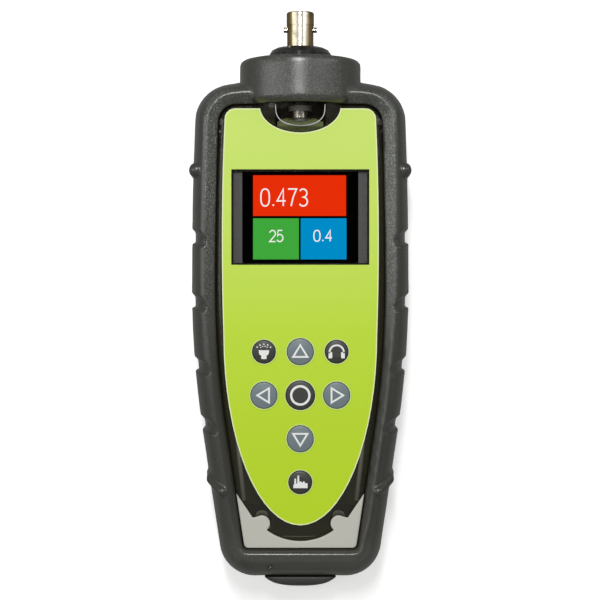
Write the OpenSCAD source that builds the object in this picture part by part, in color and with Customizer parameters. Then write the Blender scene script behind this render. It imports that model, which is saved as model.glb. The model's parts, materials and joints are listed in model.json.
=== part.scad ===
/* [Boot outside] */
// Length of the boot from its foot to the top of its round nose
boot_l = 178.5; // [172:0.5:190]
// Width of the boot at its widest
boot_w = 75.2; // [73:0.2:82]
// Height of the lip's crest above the back
crest_h = 34.6; // [34:0.1:37]
// Radius of the round nose, which rests on the same plane as the back
nose_r = 21; // [20.6:0.1:22.4]
// Length of the nose at its full radius
nose_l = 14.6; // [13:0.1:17]
// Rounding of the nose's outer edge
nose_fillet = 2; // [0.8:0.1:3]
// Height of the widest place above the foot
widest_up = 100.5; // [90:0.5:112]
// Narrowing of one side from the widest place up to the shoulder
side_bow = 1.4; // [0:0.1:2]
// Fall of the shoulders, in degrees
shoulder_fall = 9.5; // [8:0.5:14]
// Distance from the nose's top down to the point where the shoulder lines would meet
shoulder_drop = 4.2; // [3.6:0.1:5.2]
// Corner radius of the shoulders
shoulder_r = 12.5; // [11:0.5:14]
// Taper of the lower sides, in degrees
taper = 8.5; // [6:0.1:10]
// Radius of the bend from the widest place into the taper
taper_r = 340; // [260:5:420]
// Corner radius of the foot
foot_r = 12.5; // [10:0.5:13]
// Height over which the sides roll inwards to the crest
roll_h = 12; // [9:0.5:14]
// Rounding of the back's edge
back_edge_r = 3; // [1.5:0.1:4]

/* [Boot lip and walls] */
// Distance from the boot's side to the lip's inner edge
lip_w = 8.6; // [7.8:0.1:9.6]
// Distance from the boot's side to the lip's crest
lip_crest_w = 6; // [5:0.1:6.8]
// Height of the bevel from the crest down to the inner edge
lip_bevel_h = 2.4; // [1.8:0.1:3]
// Distance from the nose's top to the upper edge of the opening
lip_top = 16.1; // [15.6:0.1:18]
// Distance from the foot to the lower edge of the opening
lip_foot = 10.5; // [9.5:0.1:12]
// Upper corner radius of the opening
opening_top_r = 6; // [4:0.5:8]
// Lower corner radius of the opening
opening_foot_r = 1.5; // [1:0.1:3]
// Wall of the boot round the case
boot_wall = 3; // [2.6:0.1:3.4]
// Wall of the boot behind the case
boot_back = 2.6; // [2:0.1:3]
// Wall of the boot at the foot
boot_base = 5.1; // [4.8:0.1:6]
// Wall of the boot over the nose's end
boot_cap = 2.8; // [2:0.1:3.2]
// Clearance between the boot and the case
boot_gap = 0.2; // [0.1:0.05:0.3]
// Opening in the boot's back beyond each side of the battery cover
window_side = 2.35; // [2:0.05:4]
// Opening in the boot's back beyond the battery cover's screws
window_end = 5.55; // [4.8:0.05:7]
// Corner radius of the opening in the boot's back
back_window_r = 6; // [2:0.5:9]

/* [Grip] */
// Half the width of a finger groove
groove_r = 2.9; // [2:0.1:3.6]
// Depth of a finger groove
groove_depth = 1.2; // [0.5:0.1:1.8]
// How far a groove leans towards the foot by its front end
groove_lean = 1.6; // [0:0.1:2.4]
// Height above the back at which the grooves begin
groove_low = 7; // [5:0.5:10]
// Height above the back at which the round front end of a groove is centred
groove_high = 30; // [27:0.5:31]
// Radius of the ball-ended beads
bead_r = 2.7; // [2:0.1:3]
// How far a bead stands out of the side
bead_out = 1.35; // [0.8:0.05:1.8]
// Height of a bead's ball above the back
bead_h = 25.5; // [22:0.5:27]
// Radius of the slanted ribs
rib_r = 2; // [1.4:0.1:2.4]
// How far a rib stands out of the side
rib_out = 0.95; // [0.5:0.05:1.2]

/* [Case] */
// Wall of the case
case_wall = 2; // [1.6:0.1:2.2]
// Back wall of the rear case
rear_wall = 2.6; // [2.4:0.1:3]
// Height of the rear case's rim above the boot's back
seam_h = 19.5; // [18.5:0.1:20]
// Thickness of the seal between the two shells
gasket_t = 0.6; // [0.4:0.1:1]
// Width of the seal between the two shells
gasket_w = 1.3; // [0.8:0.1:1.6]
// Height of the rim that the boot's lip clasps
clasp_h = 30; // [29.4:0.1:30.6]
// Height of the case's front face
front_h = 32.9; // [32.4:0.1:33.6]
// Length of the dome from the nose's tube to its tip
dome_l = 11.5; // [10:0.5:13]
// Distance from the nose's top to the dome's widest place
dome_down = 17; // [16.6:0.1:18]
// End wall of the case's nose
nose_wall = 3; // [2:0.1:4]
// Radius of the case screws' columns
column_r = 2.7; // [2.4:0.1:3]
// Height from the foot of the lower case screws
low_screw_up = 19.2; // [18.8:0.1:20]
// Distance between the lower case screws
low_screw_pitch = 26.2; // [25.6:0.2:27]
// Distance from the nose's top to the upper case screws
high_screw_down = 21.5; // [20.5:0.1:23]
// Distance from the boot's side to the upper case screws
high_screw_side = 10.1; // [9.8:0.1:11]
// Radius of a screw's shank
screw_r = 1.2; // [1:0.05:1.3]
// Radius of a screw's head
screw_head_r = 2.4; // [2:0.1:2.6]
// Height of a screw's head
screw_head_h = 1.6; // [1.2:0.1:2]
// Clearance round a screw's shank in its thread
screw_gap = 0.05; // [0.02:0.01:0.1]

/* [Front overlay] */
// Thickness of the overlay
label_t = 0.3; // [0.2:0.05:0.5]
// Distance from the boot's side to the overlay at its widest
label_side = 11; // [10.6:0.1:11.6]
// Narrowing of one side up to the overlay's top
label_bow = 1.1; // [0.4:0.1:1.6]
// Distance from the nose's top to the overlay's upper edge
label_top = 17.8; // [17.4:0.1:20]
// Height of the overlay's lower tip above the foot
label_foot = 18.8; // [18:0.1:21]
// Corner radius of the overlay
label_r = 3.4; // [2:0.1:5]
// Height above the foot at which the overlay starts to narrow in an ellipse
label_turn_up = 83.5; // [76:0.5:88]
// Height above the foot of the overlay's widest place
label_mid_up = 115.5; // [108:0.5:124]
// Gap between the dome and the overlay's notch
notch_gap = 0.4; // [0.2:0.1:0.8]

/* [Lower trim] */
// Thickness of the trim
trim_t = 1.2; // [0.8:0.1:1.6]
// How far the trim stands over the front face
trim_rise = 0.1; // [0:0.05:0.3]
// Clearance round the trim
trim_gap = 0.1; // [0.05:0.05:0.2]
// Height of the trim's tips above the opening's lower edge
trim_tip_up = 19.1; // [17:0.1:21]
// Radius of the lobes over the screw columns
lobe_r = 2.8; // [2.4:0.1:3]
// Height of the trim at its middle
trim_mid_h = 2.4; // [1.6:0.1:3]
// Half the width of the arc between the lobes
trim_arc_x = 11.1; // [10:0.1:11.6]
// Height of the arc's ends above the opening's lower edge
trim_arc_up = 6.2; // [5:0.1:7]
// Distance from the middle to the trim's upper notches
trim_notch_x = 16.2; // [15.8:0.1:17.4]
// Height of the upper notches above the opening's lower edge
trim_notch_up = 10.7; // [9.4:0.1:12]

/* [Display] */
// Distance from the boot's side to the window pane
pane_side = 14.15; // [13.8:0.05:15.6]
// Length of the window pane
pane_l = 32.4; // [30:0.1:33.6]
// Thickness of the window pane
pane_t = 1; // [0.8:0.1:1.4]
// Ledge that carries the pane
pane_ledge = 0.6; // [0.4:0.1:1]
// Clearance round the pane
pane_gap = 0.1; // [0.05:0.05:0.2]
// Distance from the nose's top to the window's upper edge
pane_top = 38.5; // [37:0.1:40]
// Width of the strip on each side of the display panel
strip_w = 3.65; // [3:0.05:5]
// Thickness of the display panel
screen_t = 3.2; // [2.4:0.1:3.6]
// How far the display panel runs on above the window
screen_over = 1.6; // [1:0.1:2.4]
// Distance from the window's lower edge up to the panel
screen_under = 0.5; // [0:0.1:1]
// Rim of the display frame outside the window
frame_rim = 1.8; // [1.2:0.1:2]
// Thickness of the display frame
frame_t = 3.6; // [3.3:0.1:3.8]

/* [Keys] */
// Distance between the key columns
key_pitch_x = 12.4; // [11.8:0.1:13.4]
// Distance between the key rows
key_pitch_y = 14.85; // [13.6:0.05:15.4]
// Height of the lowest key above the foot
key_low_up = 33.3; // [32:0.1:36]
// Radius of the centre key
centre_key_r = 4.9; // [4.4:0.1:5.2]
// Radius of the arrow keys
arrow_key_r = 4.45; // [4:0.05:4.8]
// Radius of the small keys
small_key_r = 3.9; // [3.5:0.1:4.4]
// How far a key stands over the overlay
key_rise = 0.8; // [0.5:0.1:1]
// Rise of a key's domed top within that
key_dome = 0.35; // [0.1:0.05:0.45]
// Clearance round a key
key_gap = 0.2; // [0.1:0.05:0.3]
// Travel of a key
key_travel = 0.4; // [0.2:0.05:0.6]
// Play between a key's stem at full travel and its switch
key_play = 0.05; // [0.02:0.01:0.1]
// Flange under the case that keeps a key in
key_flange = 0.7; // [0.5:0.1:0.9]
// Radius of a key's stem
key_stem_r = 1.5; // [1.2:0.1:1.8]
// Width of the raised ring round each key
key_ring_w = 0.5; // [0.3:0.1:0.8]
// Height of the raised ring round each key
key_ring_h = 0.12; // [0.05:0.01:0.2]

/* [Sensor jack] */
// How far the jack stands out of the nose
jack_l = 17; // [16.5:0.1:19]
// Radius of the barrel behind the lugs
barrel_r = 4.6; // [4.4:0.05:4.65]
// Radius of the barrel's front land
land_r = 4.8; // [4.75:0.005:4.8]
// Length of the barrel's front land
land_l = 4.6; // [4.2:0.1:4.8]
// Chamfer at the barrel's mouth
mouth_chamfer = 0.3; // [0.1:0.05:0.4]
// Radius of the barrel's bore
mouth_r = 4.1; // [3.9:0.05:4.2]
// Depth of the barrel's bore
mouth_l = 9.5; // [8:0.1:10.5]
// Distance from the barrel's mouth to the lugs' centre
lug_down = 6; // [5.8:0.1:6.5]
// Radius of a lug
lug_r = 0.95; // [0.8:0.05:1.1]
// Distance from the axis to a lug's end
lug_reach = 5.8; // [5.4:0.05:6]
// Radius of the jack's flange
jack_flange_r = 7; // [6.5:0.1:7.4]
// Thickness of the jack's flange
jack_flange_t = 2; // [1.5:0.1:2.4]
// Radius of the jack's threaded shank
shank_r = 4; // [3.8:0.1:4.4]
// Length of the shank behind the flange
shank_l = 16.8; // [15:0.1:17.2]
// Radius of the insulator
insulator_r = 2.25; // [2:0.05:2.5]
// How far the insulator stands out of the shank
insulator_tail = 1; // [0.5:0.1:1.2]
// Radius of the centre contact
contact_r = 0.7; // [0.5:0.05:0.9]
// Clearance between the jack's own pieces
jack_gap = 0.05; // [0.02:0.01:0.08]
// Radius of the collar
collar_r = 11; // [10.2:0.1:11.4]
// How far the collar stands out of the nose
collar_l = 4.9; // [4:0.1:5.4]
// Thickness of the nut behind the nose wall
nut_t = 2.4; // [2:0.1:3]
// Width of the nut across its corners
nut_w = 13; // [12:0.1:14]
// Thickness of the washer under the nut
washer_t = 0.5; // [0.3:0.1:0.8]

/* [Electronics] */
// Height of the board's underside above the back
board_h = 22; // [21.6:0.1:22.4]
// Thickness of the board
board_t = 1.6; // [1.4:0.1:1.8]
// Distance from the boot's side to the board's edge
board_inset = 8; // [7.8:0.1:9]
// Width of the board's tab under the dome
tab_w = 16; // [14:0.5:18]
// Distance from the shank's end to the board's tab
tab_gap = 1.3; // [1.2:0.1:1.6]
// Width of a switch
switch_w = 5; // [4:0.1:6]
// Height of a switch's body
switch_h = 2; // [1.6:0.1:2.6]
// Height of a switch with its plunger
switch_l = 3.8; // [3.4:0.1:4]
// Radius of a switch's plunger
plunger_r = 1; // [0.8:0.1:1.2]
// Radius of the board's posts
post_r = 2.8; // [2.4:0.1:3.2]
// Distance from the boot's side to the upper posts
post_high_side = 12.6; // [12.1:0.1:13.6]
// Distance from the nose's top to the upper posts
post_high_down = 32; // [31:0.5:33]
// Distance from the boot's side to the lower posts
post_low_side = 16.6; // [16.4:0.1:17.1]
// Height of the lower posts above the foot
post_low_up = 28; // [28:0.5:31]

/* [Sockets and flap] */
// Bore radius of the headphone socket
phones_r = 1.8; // [1.75:0.01:1.85]
// Depth of the headphone socket's bore
phones_bore_l = 13; // [11:0.5:13.5]
// Radius of the headphone socket's nose
phones_nose_r = 2.6; // [2.4:0.1:2.7]
// Height and width of the headphone socket's body
phones_body = 5.4; // [5.2:0.1:5.8]
// Distance from the middle to each socket
socket_x = 4.7; // [4.4:0.1:5]
// Width of the charging socket
usb_w = 7.6; // [7:0.1:8]
// Height of the charging socket
usb_h = 2.9; // [2.6:0.1:3.1]
// Length of the charging socket
usb_l = 6; // [5.5:0.1:7]
// Wall of the charging socket's shell
usb_wall = 0.3; // [0.25:0.05:0.4]
// Width of the recess in the boot's foot
recess_w = 20; // [19.6:0.2:21]
// Height of the recess in the boot's foot
recess_t = 12; // [11.6:0.1:12.6]
// Width of the flap
flap_w = 25.6; // [24.6:0.2:27]
// Height of the flap
flap_t = 16; // [15.6:0.1:16.6]
// How far the flap stands out of the foot
flap_out = 4.5; // [4:0.1:4.6]
// How much the flap's bulge falls off towards its upper and lower edges
flap_fall = 2; // [1:0.1:2.6]
// Depth of the flap's plug in the recess
plug_l = 1.4; // [1:0.1:1.8]
// Wall of the flap's plug
plug_wall = 1.2; // [0.8:0.1:1.4]
// Gap between the flap's plug and the recess
plug_gap = 0.45; // [0.4:0.05:0.6]
// Radius of the flap's hinge bead
hinge_r = 0.9; // [0.7:0.05:1]
// Length of the flap's hinge bead
hinge_l = 14; // [10:0.5:18]
// Clearance round the hinge bead and under the flap
flap_gap = 0.05; // [0.03:0.01:0.08]

/* [Battery bay] */
// Radius of a cell
cell_r = 7.25; // [7.1:0.05:7.25]
// Length of a cell's can
cell_l = 49.2; // [48.5:0.1:49.2]
// Radius of a cell's terminal
terminal_r = 2.75; // [2.5:0.05:2.9]
// Height of a cell's terminal
terminal_l = 1.3; // [1:0.1:1.5]
// Clearance between the cells
cell_gap = 0.7; // [0.5:0.1:0.9]
// Height of the battery bay's middle above the foot
bay_up = 61.5; // [60:0.5:63]
// Thickness of a contact plate
contact_t = 0.5; // [0.3:0.1:0.6]
// Length of a contact spring
spring_l = 1.6; // [1.2:0.1:2]
// Wall at each end of the bay
bay_wall = 1.5; // [1:0.1:2]
// Thickness of the cover's plate
cover_t = 1; // [0.8:0.1:1.2]
// Ledge beside the bay that carries the cover
cover_ledge = 2.6; // [2.2:0.1:3]
// Length of the cover beyond the bay at each end
cover_end = 8.6; // [8:0.1:9]
// Thickness of the cover's seal
seal_t = 0.4; // [0.3:0.1:0.6]
// Width of the cover's seal
seal_w = 1.4; // [1:0.1:1.6]
// Clearance round the cover
cover_gap = 0.2; // [0.1:0.05:0.3]
// Corner radius of the cover
cover_r = 3; // [1.5:0.1:4]

/* [Hidden] */
$fn = 48;

// How far a cut runs past the surface that it opens
over = 0.5;
// Places of the bead, the four grooves and the rib along the boot, as shares of its length from the foot
grip_place_share = [0.784, 0.659, 0.535, 0.413, 0.3, 0.193];
// Places of an outline's points across one groove, as shares of its half-width
groove_point_share = [1.1, 0.7, 0.3, -0.1, -0.5, -0.9, -1.3, -1.7];

// Places along the meter, whose middle is the origin
total_l = flap_out + boot_l + jack_l;
foot_y = flap_out - total_l / 2;
nose_y = foot_y + boot_l;
tip_y = nose_y + jack_l;
widest_y = foot_y + widest_up;
shoulder_y = nose_y - shoulder_drop;
opening_top_y = nose_y - lip_top;
opening_foot_y = foot_y + lip_foot;
axis_h = nose_r;

// Heights of the boot's section
side_h = crest_h - roll_h;
lip_under_h = clasp_h + boot_gap;

// The case inside the boot
case_inset = boot_wall + boot_gap;
case_back_h = boot_back + boot_gap;
case_floor_h = case_back_h + rear_wall;
front_low_h = seam_h + gasket_t;
case_foot_y = foot_y + boot_base + boot_gap;
case_nose_r = nose_r - boot_wall;
case_nose_y = nose_y - boot_cap - boot_gap;
nose_inner_y = case_nose_y - nose_wall;
dome_y = nose_y - dome_down;
skin_h = front_h - case_wall;

// The dome where it meets the front face
dome_rise = front_h - axis_h;
dome_share = sqrt(1 - pow(dome_rise / case_nose_r, 2));

// Screw columns
low_screw_y = foot_y + low_screw_up;
high_screw_y = nose_y - high_screw_down;
screw_places = [for (s = [-1, 1]) each [
    [s * low_screw_pitch / 2, low_screw_y],
    [s * (boot_w / 2 - high_screw_side), high_screw_y]
]];
screw_bore_r = screw_r + screw_gap;

// The window, the display panel and its frame
pane_w = boot_w - 2 * pane_side;
screen_w = pane_w - 2 * strip_w;
pane_y = nose_y - pane_top - pane_l / 2;
screen_l = pane_l + screen_over - screen_under;
screen_y = pane_y + (screen_over + screen_under) / 2;
screen_back_h = skin_h - screen_under - screen_t + pane_gap;
frame_w = pane_w + 2 * frame_rim;
frame_l = screen_l + 2 * frame_rim;
frame_low_h = skin_h - frame_t - 2 * pane_gap;

// The overlay
label_w = boot_w - 2 * label_side;
label_top_y = nose_y - label_top;
label_foot_y = foot_y + label_foot;
label_turn_y = foot_y + label_turn_up;
label_mid_y = foot_y + label_mid_up;
label_h = front_h + label_t;

// Keys: column, row counted up from the lowest, and radius
KEY_PLACES = [
    [-1, 3, small_key_r], [0, 3, arrow_key_r], [1, 3, small_key_r],
    [-1, 2, arrow_key_r], [0, 2, centre_key_r], [1, 2, arrow_key_r],
    [0, 1, arrow_key_r], [0, 0, small_key_r]
];
key_low_y = foot_y + key_low_up;
function key_x(k) = KEY_PLACES[k][0] * key_pitch_x;
function key_y(k) = key_low_y + KEY_PLACES[k][1] * key_pitch_y;
function key_r(k) = KEY_PLACES[k][2];
board_top_h = board_h + board_t;
switch_top_h = board_top_h + switch_l;

// The sensor jack, whose flange sits on the nose's end wall
shank_y = case_nose_y - shank_l;
tab_y = shank_y - tab_gap;

// The sockets hang under the board and reach the case's foot wall
socket_wall_y = case_foot_y + case_wall;
phones_h = board_h - phones_body / 2;
usb_mid_h = board_h - usb_h / 2;
recess_drop_share = 0.74;
recess_mid_h = board_h - phones_body * recess_drop_share;

// The battery bay
bay_y = foot_y + bay_up;
bay_w = 4 * cell_r + cell_gap + 2 * cover_gap;
bay_l = cell_l + terminal_l + 2 * contact_t + spring_l + 2 * cover_gap;
cell_x = cell_r + cell_gap / 2;
cell_h = case_floor_h + cell_gap + cell_r;
cover_w = bay_w + 2 * cover_ledge;
cover_l = bay_l + 2 * cover_end;
cover_screw_y = (bay_l + cover_end) / 2 + seal_w;
back_window_w = cover_w + 2 * window_side;
back_window_l = 2 * (cover_screw_y + window_end);

// Posts for the board
post_places = [for (s = [-1, 1]) each [
    [s * (boot_w / 2 - post_high_side), nose_y - post_high_down],
    [s * (boot_w / 2 - post_low_side), foot_y + post_low_up]
]];

// Half the boot's width at a place along it: a slight bow above the widest place, an arc into a
// straight taper below it
function side_x(y) =
    y > widest_y
    ? boot_w / 2 - side_bow * pow((y - widest_y) / (nose_y - widest_y - shoulder_r), 2)
    : widest_y - y < taper_r * sin(taper)
    ? boot_w / 2 - taper_r + sqrt(taper_r * taper_r - pow(widest_y - y, 2))
    : boot_w / 2 - taper_r * (1 - cos(taper)) - (widest_y - y - taper_r * sin(taper)) * tan(taper);

// Where an outline's side begins below its upper corner and ends above its lower one
function side_top(inset, top, fall, r) =
    let (x = side_x(top - 2 * r) - inset - r)
    top - x * tan(fall) - r / cos(fall);
function side_low(foot, r) = foot + r * (1 - sin(taper));

// Right half of an outline that lies inside the boot's side by an inset, from the top's middle
// round to the foot's middle. The side's own points come as places along the meter.
function half_outline(inset, top, fall, top_r, foot, low_r, ys, cut_h) =
    let (
        steps = 6,
        ty = side_top(inset, top, fall, top_r),
        tx = side_x(ty) - inset - top_r,
        ly = foot + low_r,
        lx = side_x(ly) - inset - low_r / cos(taper)
    )
    concat(
        [[0, top], [tx / 2, top - tx / 2 * tan(fall)]],
        [for (i = [0:steps]) let (a = (90 - fall) * (1 - i / steps)) [tx + top_r * cos(a), ty + top_r * sin(a)]],
        [for (y = ys) [side_x(y) - inset - groove_cut(y, cut_h), y]],
        [for (i = [0:steps]) let (a = -taper - (90 - taper) * i / steps)
            [lx + low_r * cos(a), ly + low_r * sin(a)]],
        [[lx / 2, foot], [0, foot]]
    );

// A half outline with its mirror image, as one closed ring
function both_halves(half) = concat(half, [for (i = [len(half) - 2:-1:1]) [-half[i][0], half[i][1]]]);

// Depth of the finger grooves at a place along the boot and a height above its back
function groove_cut(y, h) =
    h < 0 ? 0 : max([for (g = [1:4])
        let (
            mid = foot_y + boot_l * grip_place_share[g] - groove_lean * max(0, (h - side_h) / (crest_h - side_h)),
            past = max(0, h - groove_high, groove_low - h)
        )
        groove_depth * max(0, 1 - (pow(y - mid, 2) + past * past) / (groove_r * groove_r))
    ]);

// Places of the boot outline's side points: some above the grooves, a set across each groove with
// one between it and the next, and some below
outer_top_y = side_top(0, shoulder_y, shoulder_fall, shoulder_r);
outer_low_y = side_low(foot_y, foot_r);
function grip_y(g) = foot_y + boot_l * grip_place_share[g];
outer_ys = concat(
    [for (i = [1:3]) outer_top_y + (grip_y(1) + 2 * groove_r - outer_top_y) * i / 4],
    [for (g = [1:4]) each concat(
        [for (s = groove_point_share) grip_y(g) + s * groove_r],
        g < 4 ? [(grip_y(g) + grip_y(g + 1)) / 2] : []
    )],
    [for (i = [1:3]) grip_y(4) - 2 * groove_r + (outer_low_y - grip_y(4) + 2 * groove_r) * i / 4]
);
opening_side_y = side_top(lip_w, opening_top_y, 0, opening_top_r);
opening_low_y = side_low(opening_foot_y, opening_foot_r);
opening_ys = [for (y = outer_ys)
    opening_side_y + (opening_low_y - opening_side_y) * (y - outer_top_y) / (outer_low_y - outer_top_y)
];
few = 14;
function plain_ys(a, b) = [for (i = [1:few - 1]) a + (b - a) * i / few];

// Outline of the case, or of anything that lies inside the boot's side by an inset
function case_ring(inset, down, up) =
    let (
        top = shoulder_y - inset - down,
        foot = case_foot_y + inset - case_inset + up,
        top_r = max(shoulder_r - inset, opening_foot_r),
        low_r = max(foot_r - inset, opening_foot_r)
    )
    both_halves(half_outline(
        inset, top, shoulder_fall, top_r, foot, low_r,
        plain_ys(side_top(inset, top, shoulder_fall, top_r), side_low(foot, low_r)), -1
    ));

// Outline of the boot's opening, drawn in by an inset
function opening_ring(inset) =
    both_halves(half_outline(
        lip_w + inset, opening_top_y - inset, 0, opening_top_r, opening_foot_y + inset, opening_foot_r,
        plain_ys(opening_side_y, opening_low_y), -1
    ));

// Outline of the boot's opening, with its side points beside those of the boot's outer outline
lip_ring = both_halves(half_outline(
    lip_w, opening_top_y, 0, opening_top_r, opening_foot_y, opening_foot_r, opening_ys, -1
));

// One ring of the boot, between its outer outline at share 0 and its opening at share 1
function boot_ring(share, h) =
    let (
        outer = both_halves(half_outline(
            0, shoulder_y, shoulder_fall, shoulder_r, foot_y, foot_r, outer_ys, h
        )),
        inner = lip_ring
    )
    [for (i = [0:len(outer) - 1]) [
        outer[i][0] + (inner[i][0] - outer[i][0]) * share,
        outer[i][1] + (inner[i][1] - outer[i][1]) * share,
        h
    ]];

// A closed solid through rings that have equally many points
module loft(rings) {
    n = len(rings[0]);
    last = len(rings) - 1;
    sides = [for (k = [0:last - 1], i = [0:n - 1])
        let (a = k * n + i, b = k * n + (i + 1) % n)
        each [[a, b, b + n], [a, b + n, a + n]]
    ];
    polyhedron(
        [for (ring = rings) each ring],
        concat([[for (i = [n - 1:-1:0]) i]], sides, [[for (i = [0:n - 1]) last * n + i]])
    );
}

// A flat outline raised from one height to another
module slab(ring, low, high) {
    translate([0, 0, low]) linear_extrude(high - low) polygon(ring);
}

// A block centred on a place in plan, from one height to another
module block(x, y, w, l, low, high) {
    translate([x - w / 2, y - l / 2, low]) cube([w, l, high - low]);
}

// A block whose four upright edges are rounded
module round_block(x, y, w, l, r, low, high) {
    block(x, y, w - 2 * r, l, low, high);
    block(x, y, w, l - 2 * r, low, high);
    for (sx = [-1, 1], sy = [-1, 1])
        post(x + sx * (w / 2 - r), y + sy * (l / 2 - r), r, low, high);
}

// An upright round post
module post(x, y, r, low, high) {
    translate([x, y, low]) cylinder(r = r, h = high - low);
}

// A turned solid about the jack's axis; its profile's first value is a radius, its second a place
// along the meter
module turned(profile) {
    translate([0, 0, axis_h]) rotate([-90, 0, 0]) mirror([0, 1, 0]) rotate_extrude($fn = 72) polygon(profile);
}

// A round bar along the meter at a place and a height
module bar(x, h, r, y0, y1) {
    translate([x, y0, h]) rotate([-90, 0, 0]) cylinder(r = r, h = y1 - y0);
}

// A round-ended rod from one point to another
module rod(a, b, r) {
    d = b - a;
    turn = atan2(d[1], d[0]);
    tilt = acos(d[2] / norm(d));
    translate(a) rotate([0, tilt, turn]) cylinder(r = r, h = norm(d));
    translate(a) sphere(r = r);
    translate(b) sphere(r = r);
}

// Rounded section of the boot: the edge of the back, the upright side, the roll to the crest and
// the bevel beyond it
back_levels = [for (a = [0, 45]) boot_ring(
    back_edge_r / lip_w * (1 - sin(a)), back_edge_r * (1 - cos(a)))];
side_levels = [for (h = [
    back_edge_r, groove_low - groove_r, groove_low - groove_r / 2, groove_low, side_h
]) boot_ring(0, h)];
roll_levels = [for (i = [1:6]) let (a = i * 90 / 6) boot_ring(
    lip_crest_w / lip_w * (1 - cos(a)), side_h + roll_h * sin(a))];
bevel_share = 0.2;
bevel_levels = [boot_ring(
    1 + (1 - lip_crest_w / lip_w) * bevel_share,
    crest_h - lip_bevel_h * (1 + bevel_share)
)];

module boot_body() {
    difference() {
        loft(concat(back_levels, side_levels, roll_levels, bevel_levels));
        // The opening in front and the space for the case behind the lip
        slab(lip_ring, lip_under_h - over, crest_h + over);
        slab(case_ring(case_inset - boot_gap, 0, -boot_gap), boot_back, lip_under_h);
    }
}

module boot() {
    nose_step = nose_y - nose_l;
    bead_x = side_x(grip_y(0)) + bead_out - bead_r;
    rib_x = side_x(grip_y(5)) + rib_out - rib_r;
    color([0.3, 0.3, 0.29])
    difference() {
        union() {
            boot_body();
            // The round nose with its rounded outer edge
            turned(concat(
                [[0, opening_top_y], [case_nose_r + boot_gap, opening_top_y], [nose_r, nose_step]],
                [for (i = [0:4]) let (a = i * 90 / 4)
                    [nose_r - nose_fillet * (1 - cos(a)), nose_y - nose_fillet * (1 - sin(a))]],
                [[0, nose_y]]
            ));
            for (s = [-1, 1]) {
                rod([s * bead_x, grip_y(0), groove_low], [s * bead_x, grip_y(0), bead_h], bead_r);
                rod(
                    [s * rib_x, grip_y(5) + rib_r, groove_low],
                    [s * rib_x, grip_y(5) + rib_r / 2, side_h - rib_r], rib_r
                );
                rod(
                    [s * rib_x, grip_y(5) + rib_r / 2, side_h - rib_r],
                    [s * (rib_x - rib_r), grip_y(5) - rib_r, crest_h - 2 * rib_r], rib_r
                );
            }
        }
        // The space for the case's nose and the hole for the jack's collar
        turned([
            [0, opening_top_y - dome_l], [case_nose_r + boot_gap, opening_top_y - dome_l],
            [case_nose_r + boot_gap, nose_y - boot_cap], [collar_r + boot_gap, nose_y - boot_cap],
            [collar_r + boot_gap, nose_y + over], [0, nose_y + over]
        ]);
        // The nose, beads and ribs stay out of the space for the case
        slab(case_ring(case_inset - boot_gap, 0, -boot_gap), boot_back, lip_under_h);
        // The opening in the back, which shows the battery cover
        round_block(0, bay_y, back_window_w, back_window_l, back_window_r, -over, boot_back + over);
        // The recess for the sockets, and the groove for the flap's hinge bead
        block(
            0, (foot_y + case_foot_y) / 2, recess_w, boot_base + 2 * over,
            recess_mid_h - recess_t / 2, recess_mid_h + recess_t / 2
        );
        translate([-hinge_l / 2 - flap_gap, hinge_y, hinge_h])
            rotate([0, 90, 0]) cylinder(r = hinge_r + flap_gap, h = hinge_l + 2 * flap_gap);
    }
}

// Round bar of the flap's hinge, half sunk in the foot's flat face
hinge_y = foot_y - flap_gap;
hinge_h = recess_mid_h - flap_t / 2;

module port_flap() {
    bulge_r = (pow(flap_w / 2, 2) + pow(flap_out, 2)) / (2 * flap_out);
    fall_r = (pow(flap_t / 2, 2) + pow(flap_fall, 2)) / (2 * flap_fall);
    low = hinge_h;
    high = recess_mid_h + flap_t / 2;
    face_y = foot_y - flap_gap;
    plug_w = recess_w - 2 * plug_gap;
    plug_h = recess_t - 2 * plug_gap;
    color([0.22, 0.22, 0.22]) {
        // The bulge: rounded both ways, and cut flat where it meets the foot
        intersection() {
            translate([0, foot_y - flap_out + bulge_r, low]) cylinder(r = bulge_r, h = high - low, $fn = 96);
            translate([-flap_w / 2, foot_y - flap_out + fall_r, recess_mid_h])
                rotate([0, 90, 0]) cylinder(r = fall_r, h = flap_w, $fn = 96);
            translate([-flap_w / 2, foot_y - flap_out, low]) cube([flap_w, flap_out - flap_gap, high - low]);
        }
        // The hollow plug that seats in the recess
        difference() {
            translate([-plug_w / 2, face_y - over, recess_mid_h - plug_h / 2])
                cube([plug_w, plug_l + over, plug_h]);
            translate([-plug_w / 2 + plug_wall, face_y, recess_mid_h - plug_h / 2 + plug_wall])
                cube([plug_w - 2 * plug_wall, plug_l + over, plug_h - 2 * plug_wall]);
        }
        translate([-hinge_l / 2, hinge_y, hinge_h]) rotate([0, 90, 0]) cylinder(r = hinge_r, h = hinge_l);
    }
}

// Outer and inner form of the case's nose: a tube that ends in a half dome
module nose_form(r, tip, y0, y1) {
    turned(concat(
        [for (i = [0:9]) let (a = i * 90 / 9) [r * sin(a), y0 - tip * cos(a)]],
        [[r, y1], [0, y1]]
    ));
}

// Places of the lower trim's corners on the right side
trim_foot_y = opening_foot_y + boot_gap + trim_gap;
trim_tip_y = opening_foot_y + trim_tip_up;
function trim_side(y) = side_x(y) - lip_w - boot_gap - trim_gap;

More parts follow.
